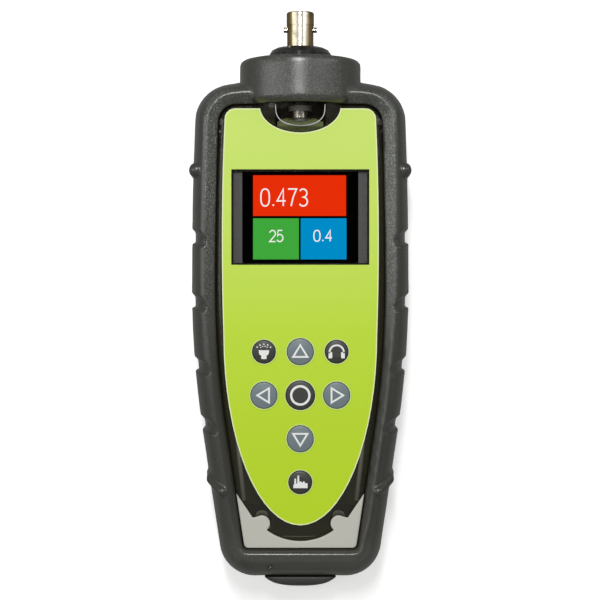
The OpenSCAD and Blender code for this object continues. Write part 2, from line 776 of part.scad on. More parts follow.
// Outline of the lower trim: up the lip from the foot to the tip, back to the lobe over the screw
// column, and along the arc between the lobes
function trim_half(grow) =
    let (
        corner = opening_foot_r,
        low_x = trim_side(trim_foot_y + corner) - corner,
        arc_rise = trim_arc_up - trim_mid_h - boot_gap - trim_gap,
        arc_r = (trim_arc_x * trim_arc_x + arc_rise * arc_rise) / (2 * arc_rise),
        arc_y = trim_foot_y + trim_mid_h + arc_r,
        arc_a = asin(trim_arc_x / arc_r)
    )
    concat(
        [[0, trim_foot_y - grow]],
        [for (i = [0:4]) let (a = -90 + (90 - taper) * i / 4) [
            low_x + (corner + grow) * cos(a), trim_foot_y + corner + (corner + grow) * sin(a)
        ]],
        [[trim_side(trim_tip_y) + grow, trim_tip_y + 3 * grow]],
        [[trim_notch_x - grow / 2, opening_foot_y + trim_notch_up + grow]],
        [[low_screw_pitch / 2 + lobe_r / 2, low_screw_y + (lobe_r + grow) * sin(60)]],
        [[low_screw_pitch / 2, low_screw_y]],
        [for (i = [0:8]) let (a = arc_a * (1 - i / 8)) [
            (arc_r - grow) * sin(a), arc_y - (arc_r - grow) * cos(a)
        ]]
    );

module trim_form(grow, low, high) {
    slab(both_halves(trim_half(grow)), low, high);
    for (s = [-1, 1]) post(s * low_screw_pitch / 2, low_screw_y, lobe_r + grow, low, high);
}

trim_low_h = front_h + trim_rise - trim_t;

module front_case() {
    color([0.2, 0.19, 0.15, 0.6])
    difference() {
        union() {
            difference() {
                union() {
                    slab(case_ring(case_inset, 0, 0), front_low_h, clasp_h);
                    // The raised front face inside the boot's lip
                    slab(opening_ring(boot_gap), clasp_h - over, front_h);
                    difference() {
                        nose_form(case_nose_r, dome_l, dome_y, case_nose_y);
                        block(0, dome_y - dome_l, 2 * nose_r, 2 * dome_l, -over, front_low_h);
                    }
                }
                // The inside: below the clasped rim, below the front face, and in the nose
                slab(case_ring(case_inset + case_wall, 0, 0), front_low_h - over, clasp_h - case_wall);
                slab(opening_ring(boot_gap + case_wall), clasp_h - case_wall - over, skin_h);
                nose_form(case_nose_r - case_wall, dome_l - case_wall, dome_y, nose_inner_y);
            }
            // Columns for the case screws, up to the front wall
            for (p = screw_places) post(
                p[0], p[1], column_r, front_low_h, p[1] > 0 ? clasp_h - over : (skin_h + trim_low_h) / 2
            );
        }
        for (p = screw_places) post(p[0], p[1], screw_bore_r, front_low_h - over, clasp_h - 2 * over);
        // The window and its ledge
        block(0, pane_y, pane_w + 2 * pane_gap, pane_l + 2 * pane_gap, front_h - pane_t, front_h + over);
        block(0, pane_y, pane_w - 2 * pane_ledge, pane_l - 2 * pane_ledge, skin_h - over, front_h);
        for (k = [0:7]) post(key_x(k), key_y(k), key_r(k) + key_gap, skin_h - over, front_h + over);
        trim_form(trim_gap, trim_low_h, front_h + over);
        // The jack's shank and the sockets
        bar(0, axis_h, shank_r + screw_gap, nose_inner_y - over, case_nose_y + over);
        socket_holes();
    }
}

module socket_holes() {
    bar(-socket_x, phones_h, phones_nose_r + screw_gap, case_foot_y - over, socket_wall_y + over);
    translate([
        socket_x - usb_w / 2 - screw_gap, case_foot_y - over, board_h - usb_h - screw_gap
    ]) cube([usb_w + 2 * screw_gap, case_wall + 2 * over, usb_h + 2 * screw_gap]);
}

// The rear shell ends at the nose's tube
module tube_clearance() {
    bar(0, axis_h, case_nose_r + cell_gap / 4, dome_y - screw_gap, nose_y);
}

module rear_case() {
    color([0.12, 0.12, 0.11])
    difference() {
        union() {
            difference() {
                slab(case_ring(case_inset, 0, 0), case_back_h, seam_h);
                slab(case_ring(case_inset + case_wall, 0, 0), case_floor_h, seam_h + over);
                tube_clearance();
            }
            for (p = screw_places) post(p[0], p[1], column_r + screw_gap, case_floor_h - over, seam_h);
            for (p = post_places) post(p[0], p[1], post_r, case_floor_h - over, board_h);
            // Walls at the ends of the battery bay, and the columns for the cover's screws
            for (s = [-1, 1]) {
                block(
                    0, bay_y + s * (bay_l + bay_wall) / 2, bay_w, bay_wall,
                    case_floor_h - over, seam_h - gasket_t
                );
                post(0, bay_y + s * cover_screw_y, column_r, case_floor_h - over, cell_h);
            }
        }
        for (p = screw_places) {
            post(p[0], p[1], screw_r + cell_gap / 2, case_back_h - over, seam_h + over);
            post(p[0], p[1], screw_head_r + cell_gap / 2, case_back_h - over, case_back_h + screw_head_h);
        }
        for (p = post_places) post(p[0], p[1], screw_bore_r, case_floor_h + over, board_h + over);
        // The bay's opening, the cover's rebate and its screw holes
        block(0, bay_y, bay_w, bay_l, case_back_h - over, case_floor_h + over);
        round_block(
            0, bay_y, cover_w + 2 * cover_gap, cover_l + 2 * cover_gap, cover_r + cover_gap,
            case_back_h - over, case_back_h + cover_t + seal_t
        );
        for (s = [-1, 1])
            post(0, bay_y + s * cover_screw_y, screw_bore_r, case_back_h, cell_h - over);
        socket_holes();
    }
}

module case_gasket() {
    color([0.5, 0.5, 0.48])
    difference() {
        slab(case_ring(case_inset + screw_gap, 0, 0), seam_h, front_low_h);
        slab(case_ring(case_inset + gasket_w, 0, 0), seam_h - over, front_low_h + over);
        tube_clearance();
        socket_holes();
    }
}

// Right side of the overlay: a slight barrel above, an ellipse below
label_turn_x = label_w / 2 - label_bow * pow((label_mid_y - label_turn_y) / (label_top_y - label_mid_y), 2);
function label_x(y) = label_w / 2 - label_bow * pow((y - label_mid_y) / (label_top_y - label_mid_y), 2);
function label_half() =
    let (corner_y = label_top_y - label_r, corner_x = label_x(corner_y) - label_r)
    concat(
        [[0, label_top_y]],
        [for (i = [0:5]) let (a = 90 - 18 * i) [corner_x + label_r * cos(a), corner_y + label_r * sin(a)]],
        [for (i = [1:8]) let (y = corner_y + (label_turn_y - corner_y) * i / 9) [label_x(y), y]],
        [for (i = [0:16]) let (a = i * 90 / 16)
            [label_turn_x * cos(a), label_turn_y - (label_turn_y - label_foot_y) * sin(a)]]
    );

module overlay_label() {
    color([0.76, 0.88, 0.3])
    difference() {
        union() {
            slab(both_halves(label_half()), front_h, label_h);
            for (k = [0:7])
                post(key_x(k), key_y(k), key_r(k) + key_gap + key_ring_w, front_h, label_h + key_ring_h);
        }
        block(
            0, pane_y, pane_w + 2 * pane_gap, pane_l + 2 * pane_gap, front_h - over, label_h + over
        );
        for (k = [0:7]) post(key_x(k), key_y(k), key_r(k) + key_gap, front_h - over, label_h + over);
        // The notch round the dome
        slab(
            [for (a = [0:6:354]) [
                (case_nose_r * dome_share + notch_gap) * cos(a),
                dome_y + (dome_l * dome_share + notch_gap) * sin(a)
            ]],
            front_h - over, label_h + over
        );
    }
}

module display_window() {
    color([0.8, 0.85, 0.85, 0.3])
    block(0, pane_y, pane_w, pane_l, front_h - pane_t, front_h);
}

module display_frame() {
    color([0.3, 0.3, 0.3])
    difference() {
        union() {
            block(0, screen_y, frame_w, frame_l, frame_low_h, frame_low_h + frame_t);
            for (sx = [-1, 1], sy = [-1, 1]) post(
                sx * (frame_w / 2 - frame_rim), screen_y + sy * (frame_l / 2 - frame_rim),
                frame_rim, board_top_h, frame_low_h + over
            );
        }
        block(
            0, screen_y, screen_w + 2 * pane_gap, screen_l + 2 * pane_gap,
            screen_back_h, frame_low_h + frame_t + over
        );
        block(0, screen_y, flex_hole_w, screen_l / 2, frame_low_h - over, screen_back_h + over);
    }
}

module display_module() {
    color([0.02, 0.02, 0.02])
    round_block(0, screen_y, screen_w, screen_l, opening_foot_r, screen_back_h, screen_back_h + screen_t);
}

// Flat cable from the back of the display down to the board
flex_w = 16;
flex_t = 0.25;
flex_l = 9;
flex_hole_w = 20;

module display_flex() {
    top = screen_back_h;
    color([0.75, 0.5, 0.15])
    translate([flex_w / 2, screen_y - flex_l / 2, 0]) rotate([90, 0, -90])
    linear_extrude(flex_w) polygon([
        [0, board_top_h], [-flex_l, board_top_h], [-flex_l, board_top_h + flex_t], [-flex_t, board_top_h + flex_t],
        [-flex_t, top - flex_t], [-flex_l, top - flex_t], [-flex_l, top], [0, top]
    ]);
}

module lower_trim() {
    color([0.77, 0.77, 0.72])
    trim_form(0, trim_low_h, trim_low_h + trim_t);
}

// A key: a domed cap, a flange behind the front wall and a stem over its switch
module key(k) {
    r = key_r(k);
    top = label_h + key_rise;
    flange_top = skin_h - screw_gap;
    color(key_r(k) == arrow_key_r ? [0.44, 0.5, 0.52] : [0.22, 0.22, 0.21])
    translate([key_x(k), key_y(k), 0])
    rotate_extrude($fn = 64) polygon(concat(
        [
            [0, switch_top_h + key_travel + key_play],
            [key_stem_r, switch_top_h + key_travel + key_play],
            [key_stem_r, flange_top - key_flange], [r + key_flange, flange_top - key_flange],
            [r + key_flange, flange_top], [r, flange_top], [r, top - key_dome - key_edge]
        ],
        [for (i = [0:5]) let (x = r - key_edge * (1 + i) / 2) [x, top - key_dome * pow(x / r, 4)]],
        [[r / 2, top], [0, top]]
    ));
}
key_edge = 0.2;

module key_torch() { key(0); }
module key_up() { key(1); }
module key_headphones() { key(2); }
module key_left() { key(3); }
module key_centre() { key(4); }
module key_right() { key(5); }
module key_down() { key(6); }
module key_machine() { key(7); }

module key_switches() {
    color([0.15, 0.15, 0.16])
    for (k = [0:7]) {
        block(key_x(k), key_y(k), switch_w, switch_w, board_top_h, board_top_h + switch_h);
        post(key_x(k), key_y(k), plunger_r, board_top_h + switch_h, switch_top_h);
    }
}

module main_board() {
    wide = case_ring(board_inset, shoulder_r, shoulder_r);
    low_y = foot_y + post_low_up - post_r - over;
    color([0.16, 0.42, 0.16])
    difference() {
        union() {
            intersection() {
                slab(wide, board_h, board_top_h);
                block(
                    0, (low_y + high_screw_y - 2 * post_r) / 2, boot_w,
                    high_screw_y - 2 * post_r - low_y, board_h, board_top_h
                );
            }
            // The tab under the dome, and the tongue that carries the sockets
            block(0, (high_screw_y + tab_y) / 2 - post_r, tab_w, tab_y - high_screw_y + 2 * post_r, board_h, board_top_h);
            block(
                0, (low_y + over + socket_wall_y + cover_gap) / 2, low_screw_pitch - 2 * column_r - 2 * cover_gap,
                low_y - socket_wall_y - cover_gap + over, board_h, board_top_h
            );
        }
        for (p = post_places) post(p[0], p[1], screw_r + cover_gap, board_h - over, board_top_h + over);
    }
}

// Parts on the board's underside: a large chip, two smaller ones and rows of small parts
chip_w = 13;
chip_t = 1.3;
small_chip_w = 7;
bit_w = 1.6;
bit_l = 3;
bit_t = 1.1;
bit_pitch = 4.5;

module board_components() {
    high_y = bay_y + bay_l / 2 + bay_wall;
    color([0.1, 0.1, 0.1]) {
        block(0, high_y + 2 * chip_w, chip_w, chip_w, board_h - chip_t, board_h);
        for (s = [-1, 1])
            block(s * chip_w, high_y + chip_w, small_chip_w, small_chip_w, board_h - chip_t, board_h);
        for (i = [-2:2], j = [0:1])
            block(
                i * bit_pitch, high_y + small_chip_w + j * 2 * chip_w + bit_l * 2 * j, bit_w, bit_l,
                board_h - bit_t, board_h
            );
    }
}

// A screw that points up: its head's outer face lies at a height, its shank ends at another
module screw(x, y, head, end) {
    post(x, y, screw_head_r, head, head + screw_head_h);
    post(x, y, screw_r, head + screw_head_h, end);
}

module board_screws() {
    color([0.75, 0.75, 0.76])
    for (p = post_places) {
        post(p[0], p[1], screw_head_r, board_top_h, board_top_h + screw_head_h);
        post(p[0], p[1], screw_r, case_floor_h + 2 * over, board_top_h);
    }
}

module case_screws() {
    color([0.6, 0.6, 0.6])
    for (p = screw_places) screw(p[0], p[1], case_back_h, clasp_h - 3 * over);
}

module bnc_body() {
    barrel_y = case_nose_y + jack_flange_t;
    color([0.75, 0.72, 0.66])
    difference() {
        union() {
            turned([
                [0, shank_y], [shank_r, shank_y], [shank_r, case_nose_y], [jack_flange_r, case_nose_y],
                [jack_flange_r, barrel_y], [barrel_r, barrel_y], [barrel_r, tip_y - land_l],
                [land_r, tip_y - land_l], [land_r, tip_y - mouth_chamfer],
                [land_r - mouth_chamfer, tip_y], [0, tip_y]
            ]);
            translate([-lug_reach, tip_y - lug_down, axis_h]) rotate([0, 90, 0])
                cylinder(r = lug_r, h = 2 * lug_reach);
        }
        bar(0, axis_h, mouth_r, tip_y - mouth_l, tip_y + over);
        bar(0, axis_h, insulator_r + jack_gap, shank_y - over, tip_y);
    }
}

module bnc_collar() {
    top = nose_y + collar_l;
    rim = collar_r / 40;
    color([0.06, 0.06, 0.06])
    turned([
        [jack_flange_r + jack_gap, case_nose_y], [collar_r, case_nose_y], [collar_r, nose_y + collar_l / 4],
        [collar_r - rim, nose_y + collar_l / 2], [collar_r - 4 * rim, top - collar_l / 4],
        [collar_r - 9 * rim, top - collar_l / 10], [barrel_r + 3 * rim, top], [barrel_r + jack_gap, top],
        [barrel_r + jack_gap, case_nose_y + jack_flange_t + jack_gap],
        [jack_flange_r + jack_gap, case_nose_y + jack_flange_t + jack_gap]
    ]);
}

module bnc_insulator() {
    color([0.93, 0.93, 0.9])
    difference() {
        bar(0, axis_h, insulator_r, shank_y - insulator_tail, tip_y - lug_r);
        bar(0, axis_h, contact_r + jack_gap, shank_y - insulator_tail - over, tip_y);
        bar(0, axis_h, 2 * contact_r, tip_y - mouth_l + insulator_r, tip_y);
    }
}

module bnc_contact() {
    color([0.85, 0.68, 0.3])
    difference() {
        union() {
            bar(0, axis_h, contact_r, shank_y - 2 * insulator_tail, tip_y - 2 * lug_r);
            bar(0, axis_h, 2 * contact_r - jack_gap, tip_y - mouth_l + insulator_r, tip_y - 2 * lug_r);
        }
        bar(0, axis_h, contact_r, tip_y - lug_down, tip_y);
    }
}

module bnc_washer() {
    color([0.7, 0.7, 0.7])
    turned([
        [shank_r + jack_gap, nose_inner_y - washer_t], [jack_flange_r, nose_inner_y - washer_t],
        [jack_flange_r, nose_inner_y], [shank_r + jack_gap, nose_inner_y]
    ]);
}

module bnc_nut() {
    color([0.72, 0.7, 0.66])
    difference() {
        translate([0, nose_inner_y - washer_t - nut_t, axis_h]) rotate([-90, 0, 0])
            cylinder(r = nut_w / 2, h = nut_t, $fn = 6);
        bar(0, axis_h, shank_r + jack_gap, nose_inner_y - washer_t - nut_t - over, nose_inner_y);
    }
}

// Short lead from the contact's end back to the board
lead_r = 0.4;

module signal_lead() {
    end_y = shank_y - 2 * insulator_tail;
    back_y = end_y - insulator_r;
    color([0.9, 0.9, 0.88]) {
        bar(0, axis_h, lead_r, back_y, end_y);
        translate([0, back_y, axis_h]) sphere(r = lead_r);
        post(0, back_y, lead_r, axis_h, board_h);
    }
}

module headphone_jack() {
    body_l = phones_bore_l + phones_r;
    color([0.1, 0.1, 0.1])
    difference() {
        union() {
            translate([-socket_x - phones_body / 2, socket_wall_y + screw_gap, board_h - phones_body])
                cube([phones_body, body_l - case_wall, phones_body]);
            bar(-socket_x, phones_h, phones_nose_r, case_foot_y, socket_wall_y + over);
        }
        bar(-socket_x, phones_h, phones_r, case_foot_y - over, case_foot_y + phones_bore_l);
    }
}

module usb_socket() {
    low = board_h - usb_h;
    color([0.7, 0.7, 0.72]) {
        difference() {
            translate([socket_x - usb_w / 2, case_foot_y, low]) cube([usb_w, usb_l, usb_h]);
            translate([socket_x - usb_w / 2 + usb_wall, case_foot_y - over, low + usb_wall])
                cube([usb_w - 2 * usb_wall, usb_l - usb_wall + over, usb_h - 2 * usb_wall]);
        }
        // The tongue inside the shell
        translate([socket_x - usb_w / 2 + 3 * usb_wall, case_foot_y + usb_wall, low + usb_h - 4 * usb_wall])
            cube([usb_w - 6 * usb_wall, usb_l - 2 * usb_wall + usb_wall / 2, 2 * usb_wall]);
    }
}

// Two cells side by side, the second one turned round
module battery_cells() {
    start = bay_y - bay_l / 2 + cover_gap + contact_t;
    color([0.2, 0.25, 0.5])
    for (s = [-1, 1]) {
        can_y = s > 0 ? start + spring_l : start + terminal_l;
        bar(s * cell_x, cell_h, cell_r, can_y, can_y + cell_l);
        bar(
            s * cell_x, cell_h, terminal_r,
            s > 0 ? can_y + cell_l : can_y - terminal_l,
            s > 0 ? can_y + cell_l + terminal_l : can_y
        );
    }
}

module battery_contacts() {
    color([0.75, 0.75, 0.72])
    for (e = [-1, 1]) {
        plate_y = bay_y + e * (bay_l / 2 - cover_gap - contact_t / 2);
        block(
            0, plate_y, bay_w - 2 * cover_gap, contact_t, case_floor_h + cell_gap, cell_h + cell_r / 2
        );
        // A conical spring on the plate in front of each flat end
        translate([-e * cell_x, plate_y - e * contact_t / 2, cell_h]) rotate([e * 90, 0, 0])
            cylinder(r1 = terminal_r, r2 = terminal_r / 2, h = spring_l);
    }
}

module battery_cover() {
    color([0.14, 0.14, 0.13])
    difference() {
        union() {
            round_block(0, bay_y, cover_w, cover_l, cover_r, case_back_h, case_back_h + cover_t);
            block(
                0, bay_y, bay_w - 2 * cover_gap, bay_l - 2 * cover_gap,
                case_back_h + cover_t - screw_gap, case_floor_h
            );
        }
        for (s = [-1, 1])
            post(0, bay_y + s * cover_screw_y, screw_r + cover_gap, case_back_h - over, case_floor_h);
        // Finger grip: shallow grooves across the cover
        for (i = [-2:2])
            translate([-bay_w / 4, bay_y - bay_l / 4 + i * 2 * screw_head_h, case_back_h])
                rotate([0, 90, 0]) cylinder(r = cover_t / 2, h = bay_w / 2);
    }
}

module battery_cover_seal() {
    low = case_back_h + cover_t;
    color([0.4, 0.4, 0.4])
    difference() {
        block(0, bay_y, bay_w + 2 * seal_w, bay_l + 2 * seal_w, low, low + seal_t);
        block(0, bay_y, bay_w + cover_gap, bay_l + cover_gap, low - over, low + seal_t + over);
    }
}

module battery_cover_screws() {
    color([0.65, 0.65, 0.66])
    for (s = [-1, 1])
        screw(0, bay_y + s * cover_screw_y, case_back_h - screw_head_h, cell_h - 2 * over);
}

boot();
port_flap();
front_case();
rear_case();
case_gasket();
overlay_label();
display_window();
display_frame();
display_module();
display_flex();
lower_trim();
key_torch();
key_up();
key_headphones();
key_left();
key_centre();
key_right();
key_down();
key_machine();
key_switches();
main_board();
board_components();
board_screws();
case_screws();
bnc_body();
bnc_collar();
bnc_insulator();
bnc_contact();
bnc_nut();
bnc_washer();
signal_lead();
headphone_jack();
usb_socket();
battery_cells();
battery_contacts();
battery_cover();
battery_cover_seal();
battery_cover_screws();
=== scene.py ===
import json
import math
from collections import Counter
from functools import reduce

import bmesh
import bpy
import numpy as np
import openvdb
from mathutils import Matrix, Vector
from mathutils.geometry import tessellate_polygon


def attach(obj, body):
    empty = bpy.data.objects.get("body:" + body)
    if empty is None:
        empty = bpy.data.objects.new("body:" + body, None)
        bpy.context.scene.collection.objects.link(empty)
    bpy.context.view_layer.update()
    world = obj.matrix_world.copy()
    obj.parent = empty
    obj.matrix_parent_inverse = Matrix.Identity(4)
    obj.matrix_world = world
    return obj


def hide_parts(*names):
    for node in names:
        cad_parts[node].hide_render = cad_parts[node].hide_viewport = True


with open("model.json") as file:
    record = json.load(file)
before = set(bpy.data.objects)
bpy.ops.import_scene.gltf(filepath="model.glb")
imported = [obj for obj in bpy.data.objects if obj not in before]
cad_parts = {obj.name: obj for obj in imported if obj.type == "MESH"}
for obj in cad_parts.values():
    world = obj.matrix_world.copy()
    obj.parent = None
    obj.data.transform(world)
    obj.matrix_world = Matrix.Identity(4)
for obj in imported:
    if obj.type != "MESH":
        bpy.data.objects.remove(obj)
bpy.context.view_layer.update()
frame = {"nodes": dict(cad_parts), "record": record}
MM = 0.001
# These keep a division away from zero
TINY, TINIEST = 1e-6, 1e-12

# Sizes are in millimetres unless a comment says otherwise. Those of solids are as in the CAD source

# The boot's outline, its roll and its bevel
FOOT_Y, NOSE_Y, AXIS_Z = -95.5, 83.0, 21.0
BOOT_HALF, BOOT_LEN, SIDE_BOW = 37.6, 178.5, 1.4
WIDEST_Y = FOOT_Y + 100.5
SHOULDER_Y, SHOULDER_FALL, SHOULDER_R = NOSE_Y - 4.2, math.radians(9.5), 12.5
TAPER, TAPER_R, FOOT_R = math.radians(8.5), 340.0, 12.5
TAPER_L = TAPER_R * math.sin(TAPER)
CREST_Z, SIDE_Z, ROLL_H = 34.6, 22.6, 12.0
LIP_W, LEAST_LIP_W = 8.6, 2.0
BEVEL_H, BEVEL_W, BEVEL_SHARE = 2.4, 1.4, 0.4
# Each gain in the bevel's width comes between two places along the boot
BEVEL_GAINS = ((1.1, FOOT_Y + 11, FOOT_Y + 22), (0.9, -30, 10))
BACK_R, EDGE_EASE, OPENING_EASE = 3.0, 0.2, 0.3
OPEN_TOP, OPEN_FOOT = NOSE_Y - 16.1, FOOT_Y + 10.5
OPEN_TOP_R, OPEN_FOOT_R, OPEN_LOW_Z = 6.0, 1.5, 29.0

# Beads, finger grooves and ribs on the boot's sides
GRIP_SHARES = (0.784, 0.659, 0.535, 0.413, 0.3, 0.193)
GRIPS = [FOOT_Y + BOOT_LEN * share for share in GRIP_SHARES]
MARK_LOW_Z = 7.0
GROOVE_HALF_L, GROOVE_DEPTH, GROOVE_POWER, GROOVE_EASE = 2.45, 1.3, 5, 0.1
GROOVE_REACH, GROOVE_SPAN, GROOVE_LEAN, GROOVE_LEAN_W, GROOVE_LEAST = 3.2, 8.0, 0.42, 6.0, -1.5
BEAD_R, BEAD_OUT, BEAD_TOP_Z, BEAD_LEAN, BEAD_EASE = 2.7, 1.35, 31.0, 0.3, 0.15
RIB_R, RIB_OUT, RIB_EASE = 2.0, 0.95, 0.2
# Bends of a rib: how far inwards, how far along and how high
RIB_BENDS = ((0, 2, MARK_LOW_Z), (0, 1.2, 22), (0.3, -0.4, 29), (3.9, -4.2, 33.4))

# The boot's round nose and its hollows
NOSE_R, NOSE_EDGE_R, NOSE_WALL, NOSE_EASE = 21.0, 2.0, 2.8, 0.35
NOSE_BEVEL_L, BEVEL_ACROSS_SHARE, BEVEL_ALONG_SHARE = 1.9, 0.75, 0.66
SPACE_IN, SPACE_R, SPACE_FOOT_Y = 3.0, 9.5, FOOT_Y + 5.1
SPACE_LOW_Z, SPACE_TOP_Z = 2.6, 30.2
BORE_R, COLLAR_HOLE_R = 18.2, 11.2
WINDOW_Y, WINDOW_X, WINDOW_HALF_L = -34.0, 20.0, 38.0
WINDOW_R, WINDOW_TOP_Z = 6.0, 3.1
RECESS_X, RECESS_HALF_H, RECESS_L, OVERRUN = 10.0, 6.0, 5.6, 1.0

# The flap at the foot
FLAP_Z, FLAP_W, FLAP_T, FLAP_OUT, FLAP_FALL = 18.004, 25.6, 16.0, 4.5, 2.0
FLAP_FRONT_EASE, FLAP_END_EASE = 1.2, 1.0
HINGE_Y, HINGE_DROP, HINGE_R, HINGE_X, HINGE_GAP = -95.55, 8.0, 0.9, 7.0, 0.05
PLUG_X, PLUG_HALF_H, PLUG_WALL, PLUG_L, PLUG_SINK = 9.55, 5.55, 1.2, 1.4, 0.5

# The smoked case
CASE_R, CASE_WALL, CASE_IN, CASE_CORNER_R = 18.0, 2.0, 3.2, 9.3
CASE_LOW, CASE_FOOT_Y, CLASP_Z = 20.1, FOOT_Y + 5.3, 30.0
FRONT_Z, LABEL_Z, KEY_Z = 32.9, 33.2, 34.0
FACE_GAP, FACE_ROOT, FACE_ROLL_W, FACE_ROLL_H, FACE_HOLLOW_Z = 0.2, 1.0, 2.2, 1.76, 27.0
# Limits that keep the face's roll from turning endlessly steep
ROLL_END, ROLL_LEAST, ROLL_LEAST_SLOPE = 1.2, 0.0025, 0.04
DOME_Y, DOME_L, DOME_EASE = NOSE_Y - 17.0, 11.5, 0.5
NOSE_END_Y, NOSE_END_WALL, NOSE_END_CUT = NOSE_Y - 3.0, 3.0, 4.0
PANE_Y, PANE_W, PANE_L, PANE_GAP, PANE_LOW_Z = 28.3, 46.9, 32.4, 0.1, 31.9
LEDGE_W, HOLES_LOW_Z = 0.6, 30.0
LOW_SCREW, LOW_COLUMN_Z = (13.1, FOOT_Y + 19.2), 31.3
HIGH_SCREW, HIGH_COLUMN_Z = (BOOT_HALF - 10.1, NOSE_Y - 21.5), 29.5
COLUMN_R, COLUMN_BORE_R, COLUMN_BORE_Z, COLUMN_EASE = 2.7, 1.25, 29.0, 0.3
JACK_HOLE_R = 4.05
SOCKETS_X, SOCKETS_Z, SOCKETS_HALF_H, SOCKETS_L = 8.6, 20.0, 3.0, 2.5

# The lower trim, whose lengths run from the foot of the boot's opening
TRIM_LOW_Z, TRIM_TOP_Z, TRIM_EASE, TRIM_SHRINK = 31.8, 33.0, 0.35, 0.02
TRIM_GAP, TRIM_FIT, TRIM_CORNER_R, LOBE_R = 0.3, 0.12, 1.5, 2.8
TRIM_TIP_L, TRIM_NECK_X, TRIM_NECK_L = 19.1, 16.2, 10.7
TRIM_ARC_X, TRIM_ARC_L, TRIM_MIDDLE_L, TRIM_POCKET_L = 11.1, 6.2, 2.4, 24.0
LOBE_JOIN_X, LOBE_JOIN_TURN = 1.4, math.radians(60)

# Boxes that hold the right half of each skin, from corner to corner
BOOT_BOX = (0, FOOT_Y - 1.2, -1.2), (40.2, NOSE_Y + 1.2, 43.2)
CASE_BOX = (0, CASE_FOOT_Y - 1, 1.8), (35.4, NOSE_END_Y + 1, 40.2)
FLAP_BOX = (0, FOOT_Y - 5.5, 8), (13.6, FOOT_Y + 2.2, 27.2)
TRIM_BOX = (0, OPEN_FOOT - 1, 31), (26, OPEN_FOOT + 21, 33.6)

# The keys, with their column, row and radius
KEY_X, KEY_Y0, KEY_DY, KEY_GAP = 12.4, FOOT_Y + 33.3, 14.85, 0.2
SMALL_KEY_R, KEY_R, CENTRE_KEY_R = 3.9, 4.45, 4.9
KEYS = {
    "torch": (-1, 3, SMALL_KEY_R), "up": (0, 3, KEY_R), "headphones": (1, 3, SMALL_KEY_R),
    "left": (-1, 2, KEY_R), "centre": (0, 2, CENTRE_KEY_R), "right": (1, 2, KEY_R),
    "down": (0, 1, KEY_R), "machine": (0, 0, SMALL_KEY_R),
}

# The view that the camera and the display share, in pixels, and the display's places in it
VIEW_PIXELS, FOCAL_PIXELS = 600, 1682
MIDDLE_PIXEL = (300.4, 300)
CAMERA_X, CAMERA_Z, SCREEN_Z = -0.1, 607, 30.5
SCREEN_SCALE = FOCAL_PIXELS / (CAMERA_Z - SCREEN_Z)
TILE_PIXELS = {
    "red": ((253.2, 175.3), (346.2, 216)),
    "green": ((253.2, 218.3), (299, 259.4)),
    "blue": ((300.8, 218.3), (346.6, 259.4)),
}
# A number's text, its columns, its rows and the width of its strokes in millimetres
NUMBERS = {
    "main": ("0.473", (261, 307.5), (189, 206), 0.5),
    "left": ("25", (269.8, 283), (230.4, 241.6), 0.42),
    "right": ("0.4", (314, 332), (230.4, 241.2), 0.42),
}

# Where materials change, in metres along the meter and from its middle
GRAIN_AND_SHEEN_ROWS, GRAIN_AND_SHEEN_EDGE = (-0.03, 0.03), (0.0338, 0.0318)
FOOT_ROWS, LIP_BAND = (-0.078, -0.088), (0.0255, 0.0275)
CLEAR_ROWS, CLEAR_EDGE = (0.0588, 0.0598), (0.0092, 0.0082)
LIME_ROWS = (-0.077, 0.065)


def key_place(name):
    column, row, radius = KEYS[name]
    return column * KEY_X, KEY_Y0 + row * KEY_DY, radius


def length(*sides):
    return np.sqrt(sum(side ** 2 for side in sides))


def above(value):
    """A value, or zero where it is less."""
    return np.clip(value, 0, None)


def side_x(y):
    """Half the boot's width at a place along it."""
    y = np.asarray(y, float)
    up = BOOT_HALF - SIDE_BOW * ((y - WIDEST_Y) / (NOSE_Y - WIDEST_Y - SHOULDER_R)) ** 2
    down = np.clip(WIDEST_Y - y, 0, TAPER_L)
    arc = BOOT_HALF - TAPER_R + np.sqrt(TAPER_R ** 2 - down ** 2)
    low = arc - above(WIDEST_Y - y - TAPER_L) * math.tan(TAPER)
    return np.where(y > WIDEST_Y, up, low)


# Materials


def new_material(name):
    material = bpy.data.materials.new(name)
    material.use_nodes = True
    tree = material.node_tree
    return material, tree, tree.nodes["Principled BSDF"]


def feed(tree, socket, value):
    """A socket set to a value, or linked to another socket."""
    if isinstance(value, bpy.types.NodeSocket):
        tree.links.new(value, socket)
    else:
        socket.default_value = value


def fill(tree, node, values):
    """A node's properties and inputs, by name."""
    for key, value in values.items():
        if key in node.inputs:
            feed(tree, node.inputs[key], value)
        else:
            setattr(node, key, value)
    return node


def add(tree, kind, **values):
    return fill(tree, tree.nodes.new("ShaderNode" + kind), values)


def grain(tree, scale, detail=3.0, roughness=0.6, stretch=(1, 1, 1)):
    """Noise in the object's own space, in units of 1/metre."""
    place = add(tree, "TexCoord").outputs["Object"]
    place = add(tree, "Mapping", Vector=place, Scale=stretch).outputs["Vector"]
    noise = add(tree, "TexNoise", Vector=place, Scale=scale, Detail=detail, Roughness=roughness)
    return noise.outputs["Fac"]


def ramp(tree, source, stops):
    """A colour or a grey worked out from a value."""
    node = add(tree, "ValToRGB", Fac=source)
    elements = node.color_ramp.elements
    while len(elements) < len(stops):
        elements.new(0.5)
    for element, (place, value) in zip(elements, stops):
        element.position = place
        colour = value if isinstance(value, tuple) else (value, value, value)
        element.color = (*colour, 1)
    return node.outputs["Color"]


def fade(tree, source, low, high):
    """A grey or a colour that changes over the middle of a noise's range."""
    return ramp(tree, source, [(0.3, low), (0.7, high)])


def blend(tree, factor, first, second, kind="MIX"):
    """Two colours mixed by a factor, which is a number or a socket."""
    node = add(tree, "Mix", data_type="RGBA", blend_type=kind, Factor=factor)
    sockets = [s for s in node.inputs if s.type == "RGBA"]
    for socket, source in zip(sockets, (first, second)):
        feed(tree, socket, source)
    return next(s for s in node.outputs if s.type == "RGBA")


